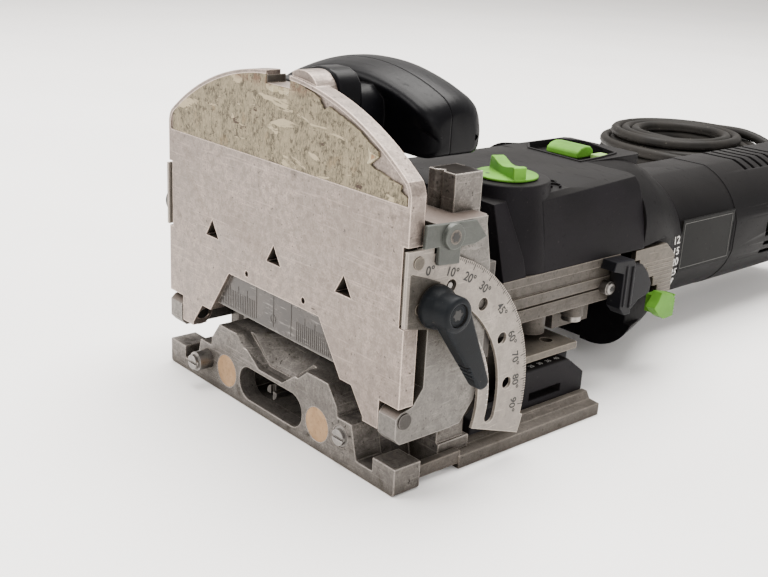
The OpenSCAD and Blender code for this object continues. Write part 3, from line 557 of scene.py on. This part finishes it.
def carve(mesh, cutters, operation="DIFFERENCE"):
    """The mesh with each cutter's shape taken out of it, or joined to it by UNION."""
    target = linked("target", mesh)
    tools = []
    for shape in cutters:
        tool = linked("tool", solid_mesh("tool", [shape]))
        modifier = target.modifiers.new("cut", "BOOLEAN")
        modifier.operation, modifier.object, modifier.solver = operation, tool, "EXACT"
        tools.append(tool)
    done = bpy.data.meshes.new_from_object(target.evaluated_get(bpy.context.evaluated_depsgraph_get()))
    for thing in (target, *tools):
        bpy.data.objects.remove(thing)
    return done


def make(name, shapes, body, material, node=None, bevel=0.0, smooth=35):
    """Adds a piece made of simple shapes, with its edges rounded by the bevel's width."""
    piece = add_piece(name, solid_mesh(name, shapes), body, material, node, smooth)
    if bevel:
        add_bevel(piece, bevel)
    return piece


def lettering(text, height, centre, right, up):
    """Raised figures, height millimetres tall, round a centre and turned to right and up."""
    curve = bpy.data.curves.new("figures", "FONT")
    curve.body = text
    curve.align_x = "CENTER"
    curve.offset = 0.022
    holder = linked("figures", curve)
    mesh = bpy.data.meshes.new_from_object(holder.evaluated_get(bpy.context.evaluated_depsgraph_get()))
    bpy.data.objects.remove(holder)
    ys = [v.co.y for v in mesh.vertices]
    middle, factor = (min(ys) + max(ys)) / 2, height / (max(ys) - min(ys))
    right, up, centre = Vector(right), Vector(up).normalized(), Vector(centre)
    corners = [tuple(centre + right * (v.co.x * factor) + up * ((v.co.y - middle) * factor))
               for v in mesh.vertices]
    return corners, [tuple(f.vertices) for f in mesh.polygons]


def flat(name, shapes, body, material):
    """Printed figures and marks: open surfaces, left as they are."""
    return add_piece(name, mesh_from(name, *joined(shapes)), body, material, smooth=0)


def mirrored(shape):
    return [(-x, y, z) for x, y, z in shape[0]], shape[1]


# ---------------------------------------------------------------- handle

def spaced(path, count):
    """Evenly spaced points from the start of a path, without its last point."""
    walked = [0.0]
    for a, b in zip(path, path[1:]):
        walked.append(walked[-1] + dist(a, b))
    points, k = [], 0
    for i in range(count):
        goal = walked[-1] * i / count
        while walked[k + 1] < goal:
            k += 1
        t = (goal - walked[k]) / max(1e-6, walked[k + 1] - walked[k])
        points.append((path[k][0] + t * (path[k + 1][0] - path[k][0]),
                       path[k][1] + t * (path[k + 1][1] - path[k][1])))
    return points


def handle_ring(x, side):
    """Closed outline across the handle at x: the part in front of the seam (-1) or behind it (1)."""
    over = max(0.0, abs(x) - 32.6)
    half = 12.5 + 0.5 * (1 - min(1, abs(x) / 26)) - (5.9 - sqrt(5.9 ** 2 - over ** 2))
    front, rear = HANDLE_Y - half, HANDLE_Y + half
    soft = max(0.0, (abs(x) - 33.5) / 5)
    round_off = 1 - sqrt(max(0.0, 1 - soft * soft))
    top = HANDLE_TOP - HANDLE_ARCH + sqrt(HANDLE_ARCH ** 2 - x * x) - 3.2 * round_off
    low = HANDLE_LOW + 2.0 * round_off
    crest = [(0.10, low), (0.03, low + 1.0), (0.055, low + 3.5), (0.075, low + 0.45 * (top - low)),
             (0.05, top - 9), (0.005, top - 5.6), (0.0, top - 4.6), (0.03, top - 3.4), (0.10, top - 2.4),
             (0.20, top - 1.5), (0.32, top - 0.7), (0.42, top - 0.2), (0.5, top), (0.62, top - 0.05),
             (0.74, top - 0.6), (0.84, top - 1.7), (0.92, top - 3.4), (0.97, top - 5.8), (1.0, top - 9),
             (1.0, low + 5), (0.99, low + 2.2), (0.95, low + 0.7), (0.88, low)]
    span = rear - front
    ring = [(front + u * span, z) for u, z in crest]
    part, previous = [], ring[-1]
    cut = HANDLE_SEAM + 0.12 * side
    for point in ring:
        here, before = (point[0] - cut) * side > 0, (previous[0] - cut) * side > 0
        if here != before:
            t = (cut - previous[0]) / (point[0] - previous[0])
            part.append((cut, previous[1] + t * (point[1] - previous[1])))
        if here:
            part.append(point)
        previous = point
    # Fixed counts of points round the outline and along the seam, so that the seam's edges stay crisp
    seam = sorted((q for q in part if abs(q[0] - cut) < 1e-6), key=lambda q: q[1])
    start = part.index(seam[-1])
    outline = part[start:] + part[:start]
    if outline[-1] != seam[0]:
        outline = [outline[0], *outline[:0:-1]]
    return [(x, y, z) for y, z in spaced(outline, 60) + spaced([seam[0], seam[-1]], 12)]


def make_handle():
    ends = [38.45, 38.35, 38.15, 37.8, 37.3, 36.6, 35.6, 34.4, 33, 31.5]
    stations = [-x for x in ends] + list(range(-30, 31, 2)) + ends[::-1]
    neck = [(-17, 94), (-14, 93), (14, 93), (17, 94), (17, 107), (13, 110.5), (-13, 110.5), (-17, 107)]
    front = make("handle_front_shell", [loft([handle_ring(x, -1) for x in stations]),
                                        prism(neck, 14, 35, "y")], body_of_node["handle_front"], "handle",
                                        "handle_front", smooth=50)
    add_bevel(front, 0.5, 50)
    sleeve = [(-19.6, 92), (-19.6, 104), (-17.5, 109.4), (-13, 110.6), (2.2, 110.6), (3, 113.4), (5.6, 115.8),
              (9, 116.6), (14, 116.6), (17.6, 115.4), (20, 112.4), (20.6, 108), (20.6, 92)]
    make("handle_sleeve", [prism(sleeve, 8, 17, "y")], body_of_node["handle_front"], "handle", bevel=1.2)
    make("handle_rear_shell", [loft([handle_ring(x, 1) for x in stations])], body_of_node["handle_rear"],
         "handle", "handle_rear", smooth=50)


make_handle()


# ---------------------------------------------------------------- cover, collar and barrel

MOTOR = body_of_node["top_cover"]


def cover_ring(y):
    """Outline of the cover at y: drafted right side, slightly crowned top, sloping left shoulder."""
    if y < 79:
        right = [(30, 50), (30, 56), (30, 62), (30, 67), (30, 71), (29, 73.6)]
    else:
        t = (y - 79) / 55
        early = [(44.3, 50), (43.4, 57), (42.4, 64), (41.2, 70), (40.5, 73.6), (39, 75.4)]
        late = [(44.3, 50), (43, 58.8), (40.6, 68.2), (38.7, 72.8), (36.6, 75.2), (33, 75.9)]
        right = [(a + (c - a) * t, b + (d - b) * t) for (a, b), (c, d) in zip(early, late)]
    left = 29 + sqrt(max(0, 14 ** 2 - max(0, 73 - y) ** 2))
    drop = 1.6 * (min(0, y - 63) / 4) ** 2
    top = [(16, 76 - drop), (0, 76 - drop), (-14, 76 - drop), (-24, 75.7 - drop)]
    shoulder = [(-left + 13, 73.2), (-left + 6, 69.8), (-left + 0.9, 66.2), (-left + 0.1, 62), (-left, 50)]
    return [(x, y, z) for x, z in right + top + shoulder]


def make_cover():
    stations = (59, 60.5, 63, 67, 73, 78.9, 79.1, 86, 96, 108, 121, 134)
    shell = solid_mesh("cover", [loft([cover_ring(y) for y in stations])])
    turret = ((50, 19.3), (56, 18.6), (62, 17.7), (68, 16.6), (73, 15.6), (77, 15.0), (78.6, 14.8),
              (79, 14.4))
    tower = loft([[(x, y, z) for x, y in circle(KNOB, r, 96)] for z, r in turret])
    corner = hull([(37, 59.6, 74), (44.4, 59, 50), (43.2, 69, 56.5), (44.2, 70, 50), (28, 59.6, 74.4),
                   (28, 59, 50), (28, 70, 50), (28, 70, 75), (36.2, 66, 74.2)])
    tongue = prism([(-24, 128), (14, 128), (14, 166), (12, 168), (-22, 168), (-24, 166)], 62, 75.9, "z")
    mesh = carve(shell, [tower, corner, tongue], "UNION")
    recess = [(-21, 141), (-14, 133.4), (12.3, 132), (11.2, 145), (8.8, 157.5), (-9, 163.8), (-13.4, 164.4),
              (-21, 159)]
    slot = [(-13, 135.2), (1, 135.2), (1, 163), (-13, 163)]
    mesh = carve(mesh, [prism(recess, 73.4, 82, "z"), prism(slot, 66, 82, "z")])
    piece = add_piece("cover_shell", mesh, MOTOR, "black_top", "top_cover", smooth=32)
    add_bevel(piece, 0.7, 34)
    # Thin rim round the switch recess, ring symbols beside the knob and the green flag of the switch
    rim = [(x * 1.06 + 0.3, (y - 148) * 1.06 + 148) for x, y in recess]
    n = len(rim)
    corners = [(x, y, z) for z in (75.8, 76.5) for ring in (rim, recess) for x, y in ring]
    faces = []
    for i in range(n):
        j = (i + 1) % n
        faces += [(2 * n + i, 2 * n + j, 3 * n + j, 3 * n + i), (i, j, 2 * n + j, 2 * n + i),
                  (n + j, n + i, 3 * n + i, 3 * n + j)]
    make("recess_rim", [(corners, faces)], MOTOR, "black", bevel=0.2)
    make("switch_flag", [block((3.4, 149.4, 73.5), (8, 155.6, 75.6))], MOTOR, "pale_green", bevel=0.4)
    symbols = []
    for x, y, r in ((33.5, 92.5, 2.6), (29.5, 95.5, 1.9)):
        for k in range(20):
            a0, a1 = 2 * pi * k / 24, 2 * pi * (k + 0.9) / 24
            symbols.append(prism(ring_part((x, y), r - 0.5, r, a0, a1), 75, 76.35, "z"))
    make("width_symbols", symbols, MOTOR, "black_top")


def soft_ring(y, w, low, high, r):
    """Rounded rectangle across the tool at y, with thirteen points per corner."""
    points = []
    for cx, cz, start in ((w - r, low + r, -90), (w - r, high - r, 0), (r - w, high - r, 90),
                          (r - w, low + r, 180)):
        for i in range(13):
            a = radians(start + 7.5 * i)
            points.append((cx + r * cos(a), y, cz + r * sin(a)))
    return points


def make_collar():
    keys = [(134.1, 44, 6.8, 76, 19), (150, 40.9, 7.2, 75.2, 23), (160, 38, 7.6, 73.8, 26),
            (171, 33.8, 8, 70.6, 29), (178, 30.8, 8.2, 67.6, 28.6), (182, 29, 8.4, 65.8, 28),
            (183, 28.2, 9, 65.2, 27.6)]
    mesh = solid_mesh("collar", [loft([soft_ring(*key) for key in keys])])
    cuts = [prism([(-24.2, 130), (14.2, 130), (14.2, 168.2), (-24.2, 168.2)], 61.5, 90, "z"),
            block((39.8, 130, 19), (60, 200, 50.2)), block((-20, 130, 6), (20, 136, 40)),
            disc((0, MOTOR_Z), 27.7, 133, 184, "y", count=96)]
    piece = add_piece("collar_shell", carve(mesh, cuts), body_of_node["depth_collar"], "collar",
                      "depth_collar", smooth=40)
    add_bevel(piece, 0.45, 40)
    # Depth figures on its right side
    surface = piece.evaluated_get(bpy.context.evaluated_depsgraph_get())
    figures = []
    places = (("12", 167.6, 45.6), ("15", 168.2, 41), ("20", 168.8, 36.5), ("25", 169.6, 32),
              ("28", 170.4, 27.5))
    right = Vector((-0.12, 0.99, 0)).normalized()
    for mark, y, z in places:
        _, place, normal, _ = surface.ray_cast(Vector((80, y, z)) * MM, Vector((-1, 0, 0)))
        figures.append(lettering(mark, 3.2, place / MM + 0.9 * normal, right * 1.25, normal.cross(right)))
    flat("depth_figures", figures, body_of_node["depth_collar"], "white_ink")


def make_plate_border():
    """Thin line round the rating plate."""
    front, rear, low, high, line = 185.4, 220.6, 28.6, 47.8, 0.2
    sides = [(front, rear, low, low + line), (front, rear, high - line, high),
             (front, front + line, low, high), (rear - line, rear, low, high)]
    borders = [block((27.5, y0, z0), (27.56, y1, z1)) for y0, y1, z0, z1 in sides]
    make("plate_border", borders, body_of_node["rating_plate"], "dim_line")


make_cover()
make_collar()
make_plate_border()


# ---------------------------------------------------------------- green controls

def make_controls():
    body = body_of_node["width_knob"]
    turned = radians(-23)
    outline = [(-9.6, 0), (10.4, 0), (10.3, 4.1), (9.9, 4.5), (8.2, 4.3), (5, 3.6), (1.5, 3.1), (-2, 3.3),
               (-5, 4.1), (-6.4, 4.5), (-8.2, 4.7), (-8.9, 4.3)]
    corners, faces = prism(outline, -2.3, 2.3, "y")
    along, across = cos(turned), sin(turned)
    grip = [(KNOB[0] + x * along - y * across, KNOB[1] + x * across + y * along, 79.8 + z) for x, y,
            z in corners]
    make("knob_grip", [(grip, faces), disc(KNOB, 10.7, 79.25, 80.1, "z"), disc(KNOB, 4.9, 77.2, 79.4, "z")],
         body, "green", "width_knob", bevel=0.35)
    dots = [disc((KNOB[0] + dx, KNOB[1] + dy), 0.75, 79.9, 80.16, "z", count=16)
            for dx, dy in ((-3.2, -5.9), (2.2, 6.2))]
    make("knob_dots", dots, body, "ink")
    body = body_of_node["power_slider"]
    profile = [(143.2, 73.7), (153.6, 73.7), (153.2, 76.4), (151.6, 77.9), (148.4, 78.2), (145.6, 77.6),
               (143.4, 76.0)]
    foot = block((-9, 145, 69.2), (-3, 153, 74))
    make("slider_cap", [prism(profile, -14.2, 1.8, "x"), foot], body, "green", "power_slider", bevel=0.7)


make_controls()


# ---------------------------------------------------------------- fence: scale, window, lining

FENCE = body_of_node["fence_plate"]
BASE = body_of_node["front_casting"]


def polar(radius, angle):
    """y and z at an angle from upright, round the fence hinge."""
    a = radians(angle)
    return PIVOT_Y + radius * sin(a), PIVOT_Z + radius * cos(a)


def tick(inner, outer, angle, half):
    """Radial mark on the protractor. half is half its width in degrees."""
    corners = [polar(inner, angle - half), polar(outer, angle - half), polar(outer, angle + half),
               polar(inner, angle + half)]
    return prism(corners, SCALE_X - 0.05, SCALE_X + 0.05, "x")


def make_scale():
    """Degree scale of the protractor: a tick for each degree and figures for the common angles."""
    marks = []
    labelled = (0, 10, 20, 30, 45, 60, 70, 80, 90)
    for degree in range(0, 91):
        long = 2.2 if degree in labelled else 1.5 if degree % 5 == 0 else 0.9
        wide = 0.11 if degree % 5 else 0.15
        marks.append(tick(49.5 - long, 49.5, degree + SCALE_ZERO, degrees(wide / 49)))
    figures = []
    for degree in labelled:
        angle = degree + SCALE_ZERO - (1.4 if degree == 0 else 0)
        y, z = polar(45.0, angle)
        a = radians(angle)
        figures.append(lettering(f"{degree}°", 2.9, (SCALE_X + 0.06, y, z), (0, cos(a), -sin(a)),
                                 (0, sin(a), cos(a))))
    flat("scale_figures", figures, FENCE, "ink")
    # Bare metal below the enamel; its dark tone is partly a painted shadow of the lever.
    bare = [(0.7, 67.9), (1.5, 68.0), (6.6, 66.3), (12, 64.2), (13.4, 58.4), (9.4, 50.6), (0.7, 52.4)]
    make("bare_and_shaded_patch", [prism(bare, SCALE_X, SCALE_X + 0.06, "x")], FENCE, "bare_and_shaded_side", smooth=0)
    make("scale_ticks", marks, FENCE, "ink")
    # Peg that sits in the first latch hole, and small marks along the slot
    y, z = polar(41, 19.3)
    make("latch_peg", [disc((y, z), 1.0, 60.6, 62.4, "x", count=20)], FENCE, "steel", bevel=0.15)
    small = [tick(32.2, 33, angle, 0.22) for angle in range(56, 98, 3)]
    make("slot_marks", small, FENCE, "white_ink")


def make_window_lines():
    """Engraved lines across the sight window: long ones for the main widths, short ones between them."""
    def line(x, low, high, wide=0.28):
        return block((x - wide / 2, 1.5, low), (x + wide / 2, 1.62, high))

    def edge(x):
        return 43.4 if abs(x) < 24.6 else 43.4 - (abs(x) - 24.6) * 1.45

    lines = [line(x, 32.4, 43.2, 0.3) for x in (-10.4, -0.9, 8.6)]
    for side in (-1, 1):
        for k in range(20):
            x = side * (11.6 + 1.02 * k)
            lines.append(line(x, 32, min(edge(x), 40.4 if k % 5 == 4 else 38.2), 0.22))
    ring = []
    for k in range(20):
        a0, a1 = 2 * pi * k / 20, 2 * pi * (k + 1) / 20
        ring.append(prism(ring_part((-0.9, 35.2), 1.25, 1.5, a0, a1), 1.5, 1.62, "y"))
    make("window_lines", lines + ring, FENCE, "engraved")


def lining_edge():
    """Outline of what is left of the lining: arched top, notch, and the torn right end."""
    def top(x):
        return 16 + sqrt(96.8 ** 2 - x * x)

    points = [(-59.2, 86.6), (-59.2, 92)]
    points += [(x, top(x)) for x in range(-58, -5, 3)]
    points += [(-5.1, top(-5.1)), (-5.1, 109.9), (7.2, 109.9), (7.2, 112.3), (9, 112.6), (13, 111.6),
               (18.5, 110.4), (21.2, 109.3), (21.7, 108.6), (23.7, 106.5), (24.9, 107.1), (25.4, 107.6),
               (26.7, 107.4), (30.4, 106.1), (34, 105.2), (37.6, 103.9), (40.8, 102.6), (43.6, 100.9),
               (46.2, 99.6), (47.6, 99.0), (48.1, 97.6), (45.5, 95.7), (44.6, 94.9), (46.5, 94.1),
               (49.8, 93.4), (53.4, 92.4), (57.6, 91.8), (57.4, 90.5), (58.9, 89.5), (60.4, 88.8),
               (60.2, 86.6)]
    ragged = []
    for (x0, z0), (x1, z1) in zip(points, points[1:] + points[:1]):
        count = 3 if x0 > 8 else 1
        for k in range(count):
            t = k / count
            x, z = x0 + (x1 - x0) * t, z0 + (z1 - z0) * t
            wobble = noise.noise(Vector((x * 1.3, z * 1.3, 0))) * (0.35 if x0 > 8 and z0 > 87 else 0)
            ragged.append((x + wobble, z + wobble * 0.7))
    return ragged


def make_lining():
    make("lining_strip", [prism(lining_edge(), 0.02, 0.6, "y")], FENCE, "lining", "fence_lining", smooth=0)
    pale = [(43.4, 99.6), (44.3, 98.3), (45.8, 98.1), (48.0, 97.6), (44.4, 95.2), (43.2, 94.8), (44.2, 96.6)]
    tan = [(44.8, 97.9), (45.8, 97.7), (47.2, 97.5), (45.6, 96.5), (44.8, 96.2)]
    make("lining_tears", [prism(pale, 0.01, 0.3, "y")], FENCE, "torn_foam", smooth=0)
    strip = [(-5, 109.8), (6.9, 109.8), (6.3, 107.7), (2, 108.3), (-1.5, 107.8), (-4.6, 108.4)]
    make("lining_strip_end", [prism(strip, 0.01, 0.3, "y")], FENCE, "torn_foam", smooth=0)
    # Dark plate on the notch's left wall: painted shade.
    make("notch_shade_plate", [block((-5.3, 0.4, 110), (-4.93, 7.4, 112.4))], FENCE, "gearbox", bevel=0.1)
    make("lining_stain", [prism(tan, 0.0, 0.3, "y")], FENCE, "rusty_foam", smooth=0)


make_scale()
make_window_lines()
make_lining()


# ---------------------------------------------------------------- clamps, screws and small marks

def make_lever(side, node, screw):
    body = body_of_node[node]
    y, z = CLAMP
    ends = (((y, z), 4.7, 5.1, 67.2, 72.4), ((y + LEVER_TIP[0], z + LEVER_TIP[1]), 2.2, 2.3, 69.2, 73.0))
    points = []
    for centre, r0, r1, x0, x1 in ends:
        for i in range(32):
            a = 2 * pi * i / 32
            points += [(x, centre[0] + r * cos(a), centre[1] + r * sin(a))
                       for r, x in ((r0, x0), (r1, x0 + 1), (r1, x1), (r1 - 0.6, x1 + 0.6))]
    profile = ((63.4, 6.1), (64.2, 6.5), (66.2, 6.2), (67.6, 5.5), (68.4, 5.2), (72.6, 5.2), (73.3, 4.8),
               (73.5, 4.3))
    hub = loft([[(x, a, b) for a, b in circle(CLAMP, r, 40)] for x, r in profile])
    mesh = carve(solid_mesh("lever", [hull(points)]), [hub], "UNION")
    mesh = carve(mesh, [disc((y, z), 3.45, 70.2, 80, "x"), disc((y, z), 2.05, 60, 76, "x", count=24)])
    # Four grip grooves near the tip
    along = Vector(LEVER_TIP).normalized()
    cross = Vector((-along.y, along.x))
    cuts = []
    corners = ((-0.4, -2), (0.4, -2), (0.4, 0.9), (-0.4, 0.9))
    for k in range(4):
        middle = Vector((y, z)) + along * (17.5 + 1.7 * k) - cross * 3.4
        cuts.append(prism([tuple(middle + along * u + cross * v) for u, v in corners], 60, 80, "x"))
    mesh = carve(mesh, cuts)
    if side < 0:
        mesh.transform(Matrix.Scale(-1, 4, (1, 0, 0)))
        mesh.flip_normals()
    piece = add_piece(node + "_arm", mesh, body, "lever", node, smooth=40)
    add_bevel(piece, 0.25, 40)
    # Black torx shape on the screw head: painted shade of its socket.
    socket = torx(CLAMP, 1.5, 72.78, 72.9, "x")
    ring = disc(CLAMP, 2.6, 72.7, 72.84, "x")
    make(screw + "_face", [ring if side > 0 else mirrored(ring)], body_of_node[screw], "lever")
    make(screw + "_socket", [socket if side > 0 else mirrored(socket)], body_of_node[screw], "ink")


make_lever(1, "angle_lever", "angle_lever_screw")
make_lever(-1, "height_lever", "height_lever_screw")


def make_pointer_screw():
    carriage = body_of_node["pointer_plate"]
    make("pointer_screw", [disc((14, 77.5), 3.9, 64.3, 65.75, "x", 3.6)], carriage, "olive", bevel=0.2)
    make("pointer_ring", [disc((14, 77.5), 2.1, 65.7, 65.8, "x")], carriage, "gearbox")
    # Black torx shape on the screw head: painted shade of its socket.
    make("pointer_socket", [torx((14, 77.5), 1.3, 65.7, 65.88, "x")], carriage, "ink")


def make_column_grease():
    """Dark, oily tops of the columns and the strips down their rear outer edges."""
    outline = [(45.6, 22.8), (47.2, 22.5), (49.4, 24.6), (51.6, 22.5), (55.4, 22.6), (55.5, 32.4), (50, 32.6),
               (45.5, 32.2)]
    tops = [prism(outline, 91.9, 92.1, "z"), block((54.4, 32.9, 60), (55.9, 33.03, 91.8))]
    make("column_grease", tops + [mirrored(s) for s in tops], BASE, "grease", bevel=0.08)


def make_depth_stop():
    """Bracket screw and ribs, ridges of the steps, and teeth of the latch."""
    motor = body_of_node["depth_bracket"]
    make("bracket_screw", [disc((112, 39.4), 2.45, 47.2, 48.2, "x", 2.0)], motor, "steel", bevel=0.2)
    # Black torx shape on the screw head: painted shade of its socket.
    make("bracket_socket", [torx((112, 39.4), 0.95, 48.1, 48.28, "x")], motor, "ink")
    ribs = [block((50.4, 116.2, 32.4), (50.9, 117.1, 47.6)), block((50.4, 119.6, 31.5), (51.0, 120.9, 47.0))]
    make("bracket_ribs", ribs, motor, "bracket", bevel=0.25)
    ridges = [block((41.8, 151.6 - k * 1.6, 29.4 + 1.6 * k), (42.08, 157.9, 29.8 + 1.6 * k))
              for k in range(9)]
    make("step_ridges", ridges, body_of_node["depth_steps"], "sheet", bevel=0.12)
    teeth = [prism([(150.6, z), (152.0, z + 0.65), (150.6, z + 1.3)], 44.9, 49, "x")
             for z in (22.6 + 1.35 * k for k in range(6))]
    make("latch_teeth", teeth, body_of_node["depth_latch"], "green", bevel=0.12)


def make_gauge_figures():
    """Board thicknesses on the step gauge."""
    gauge = body_of_node["step_gauge"]
    figures = [lettering(text, 1.7, (49.3, y, 20.05), (0, 1, 0), (-1, 0, 0))
               for text, y in (("20", 67), ("25", 71.2), ("30", 75.4), ("36", 79.6), ("40", 83.8))]
    flat("gauge_figures", figures, gauge, "white_ink")


def make_face_marks():
    """Screws, painted shade at the triangles' depths, fine lines on the fence, and the centre line on the
    base.
    """
    make("fence_screws", [disc((x, 47), 1.0, 0.9, 2.4, "y", count=20) for x in (-14, 16.5)], FENCE,
         "dark_steel")
    # Dark fill at the bottom of the triangle holes: painted shade.
    marks = [prism([(x - 3.7, 54.5), (x + 3.7, 54.5), (x, 60.2)], 4.6, 5.3, "y") for x in (-34.5, 0.6, 35.4)]
    make("mark_hole_shade", marks, FENCE, "grease", bevel=0.05)
    make("fence_line", [block((20.6, 0, 45.8), (22.4, 0.06, 46.05))], FENCE, "engraved")
    make("centre_line", [block((-0.2, 4.6, 15.2), (0.2, 5, 15.9))], BASE, "engraved")


def make_shields():
    """Black guards behind the left hinge and beside the step gauge."""
    shield = [(13.5, 24), (20, 24), (20, 27), (17.5, 29), (13.5, 29)]
    make("left_shield", [prism(shield, -53.6, -34, "x")], body_of_node["fence_carriage"], "black", bevel=0.6)
    guide = [(36.4, 7.1), (58.6, 7.1), (58.6, 11.6), (55.6, 14.2), (40, 14.6), (36.4, 12.4)]
    make("gauge_guide", [prism(guide, 52.7, 56.2, "x")], BASE, "black", bevel=0.5)


def make_pin_marks():
    """Four radial marks round the right stop pin."""
    marks = []
    for turn in (0.4, 1.1, 1.8, 2.5):
        corners = ((4.3, turn - 0.05), (5.3, turn - 0.04), (5.3, turn + 0.04), (4.3, turn + 0.05))
        outline = [(PIN[0] + r * cos(a), PIN[1] + r * sin(a)) for r, a in corners]
        marks.append(prism(outline, 0, 0.05, "y"))
    make("pin_marks", marks, BASE, "engraved")


make_pointer_screw()
make_column_grease()
make_depth_stop()
make_gauge_figures()
make_face_marks()
make_shields()
make_pin_marks()


# ---------------------------------------------------------------- cord

def smooth_line(points, step):
    """Catmull-Rom curve through points, sampled about every step millimetres."""
    points = [Vector(p) for p in points]
    padded = [2 * points[0] - points[1], *points, 2 * points[-1] - points[-2]]
    line = []
    for a, b, c, d in zip(padded, padded[1:], padded[2:], padded[3:]):
        count = max(1, round((c - b).length / step))
        for i in range(count):
            t = i / count
            line.append(0.5 * (2 * b + (c - a) * t + (2 * a - 5 * b + 4 * c - d) * t * t
                               + (3 * b - a - 3 * c + d) * t ** 3))
    return [*line, points[-1]]


def coil_points(turns):
    """Turns laid side by side in layers, from the outside in and then out again, a cord's width apart."""
    points = []
    per_turn = 24
    for i in range(1, round(turns * per_turn) + 1):
        turn, part = divmod(i / per_turn, 1)
        turn = int(turn)

        def seat(k):
            layer, place = divmod(k, 4)
            return COIL_RADII[place if layer % 2 == 0 else 3 - place], CORD_D * (layer + 0.5)

        (r0, z0), (r1, z1) = seat(turn), seat(turn + 1)
        shift = max(0, (part - 0.7) / 0.3)
        shift = shift * shift * (3 - 2 * shift)
        radius, height = r0 + (r1 - r0) * shift, z0 + (z1 - z0) * shift
        angle = -pi / 2 - 2 * pi * i / per_turn
        points.append((COIL_CENTRE[0] + radius * cos(angle), COIL_CENTRE[1] + radius * sin(angle), height))
    return points


def make_cord():
    coil = [(COIL_CENTRE[0], COIL_CENTRE[1] - COIL_RADII[0], CORD_D / 2), *coil_points(COIL_TURNS)]
    tail = [(-160, 524, 25), (-149, 523.8, 25), (-138, 523.6, 23.2), (-126, 523.5, 19.6), PLUG]
    line = smooth_line([*ROUTE, *coil, *tail], 4)

    curve = bpy.data.curves.new("cord", "CURVE")
    curve.dimensions = "3D"
    curve.bevel_depth = CORD_D / 2 * MM
    curve.bevel_resolution = 4
    curve.use_fill_caps = True
    spline = curve.splines.new("POLY")
    spline.points.add(len(line) - 1)
    for point, place in zip(spline.points, line):
        point.co = (*(place * MM), 1)
    curve.materials.append(MATERIALS["cord"])
    cord = linked("cord", curve)
    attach(cord, "motor_unit")
    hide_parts("cord_tube", "cord_coil")
    return cord


cord = make_cord()


# ---------------------------------------------------------------- floor and light

def make_stage():
    mesh = mesh_from("floor", [(-4000, -3000, 0), (4000, -3000, 0), (4000, 5000, 0), (-4000, 5000, 0)],
                     [(0, 1, 2, 3)])
    floor = linked("floor", mesh)
    s = Shader("pale_floor")
    tone = s.ramp(s.noise(6, 3, 0.5), 0.3, 0.7)
    mesh.materials.append(s.finish(s.mix(tone, (0.90, 0.885, 0.87), (0.93, 0.915, 0.90)), 0.6))
    world = bpy.data.worlds.new("studio")
    bpy.context.scene.world = world
    world.use_nodes = True
    world.node_tree.nodes["Background"].inputs[0].default_value = (1.0, 0.965, 0.93, 1)
    world.node_tree.nodes["Background"].inputs[1].default_value = 1.1


def make_light(name, place, target, size, power, colour):
    data = bpy.data.lights.new(name, "AREA")
    data.shape = "DISK"
    data.size = size
    data.energy = power
    data.color = colour
    light = linked(name, data)
    light.location = place
    light.rotation_mode = "QUATERNION"
    light.rotation_quaternion = (Vector(target) - Vector(place)).to_track_quat("-Z", "Y")


make_stage()
make_light("overhead", (-0.25, 0.45, 1.5), (0, 0.15, 0.03), 1.5, 88, (1.0, 0.98, 0.95))
make_light("left_front", (-0.75, -0.85, 0.85), (0, 0.1, 0.05), 0.8, 16, (1.0, 0.98, 0.96))
make_light("right_fill", (1.1, -0.3, 0.7), (0, 0.15, 0.04), 0.9, 6, (0.97, 0.98, 1.0))
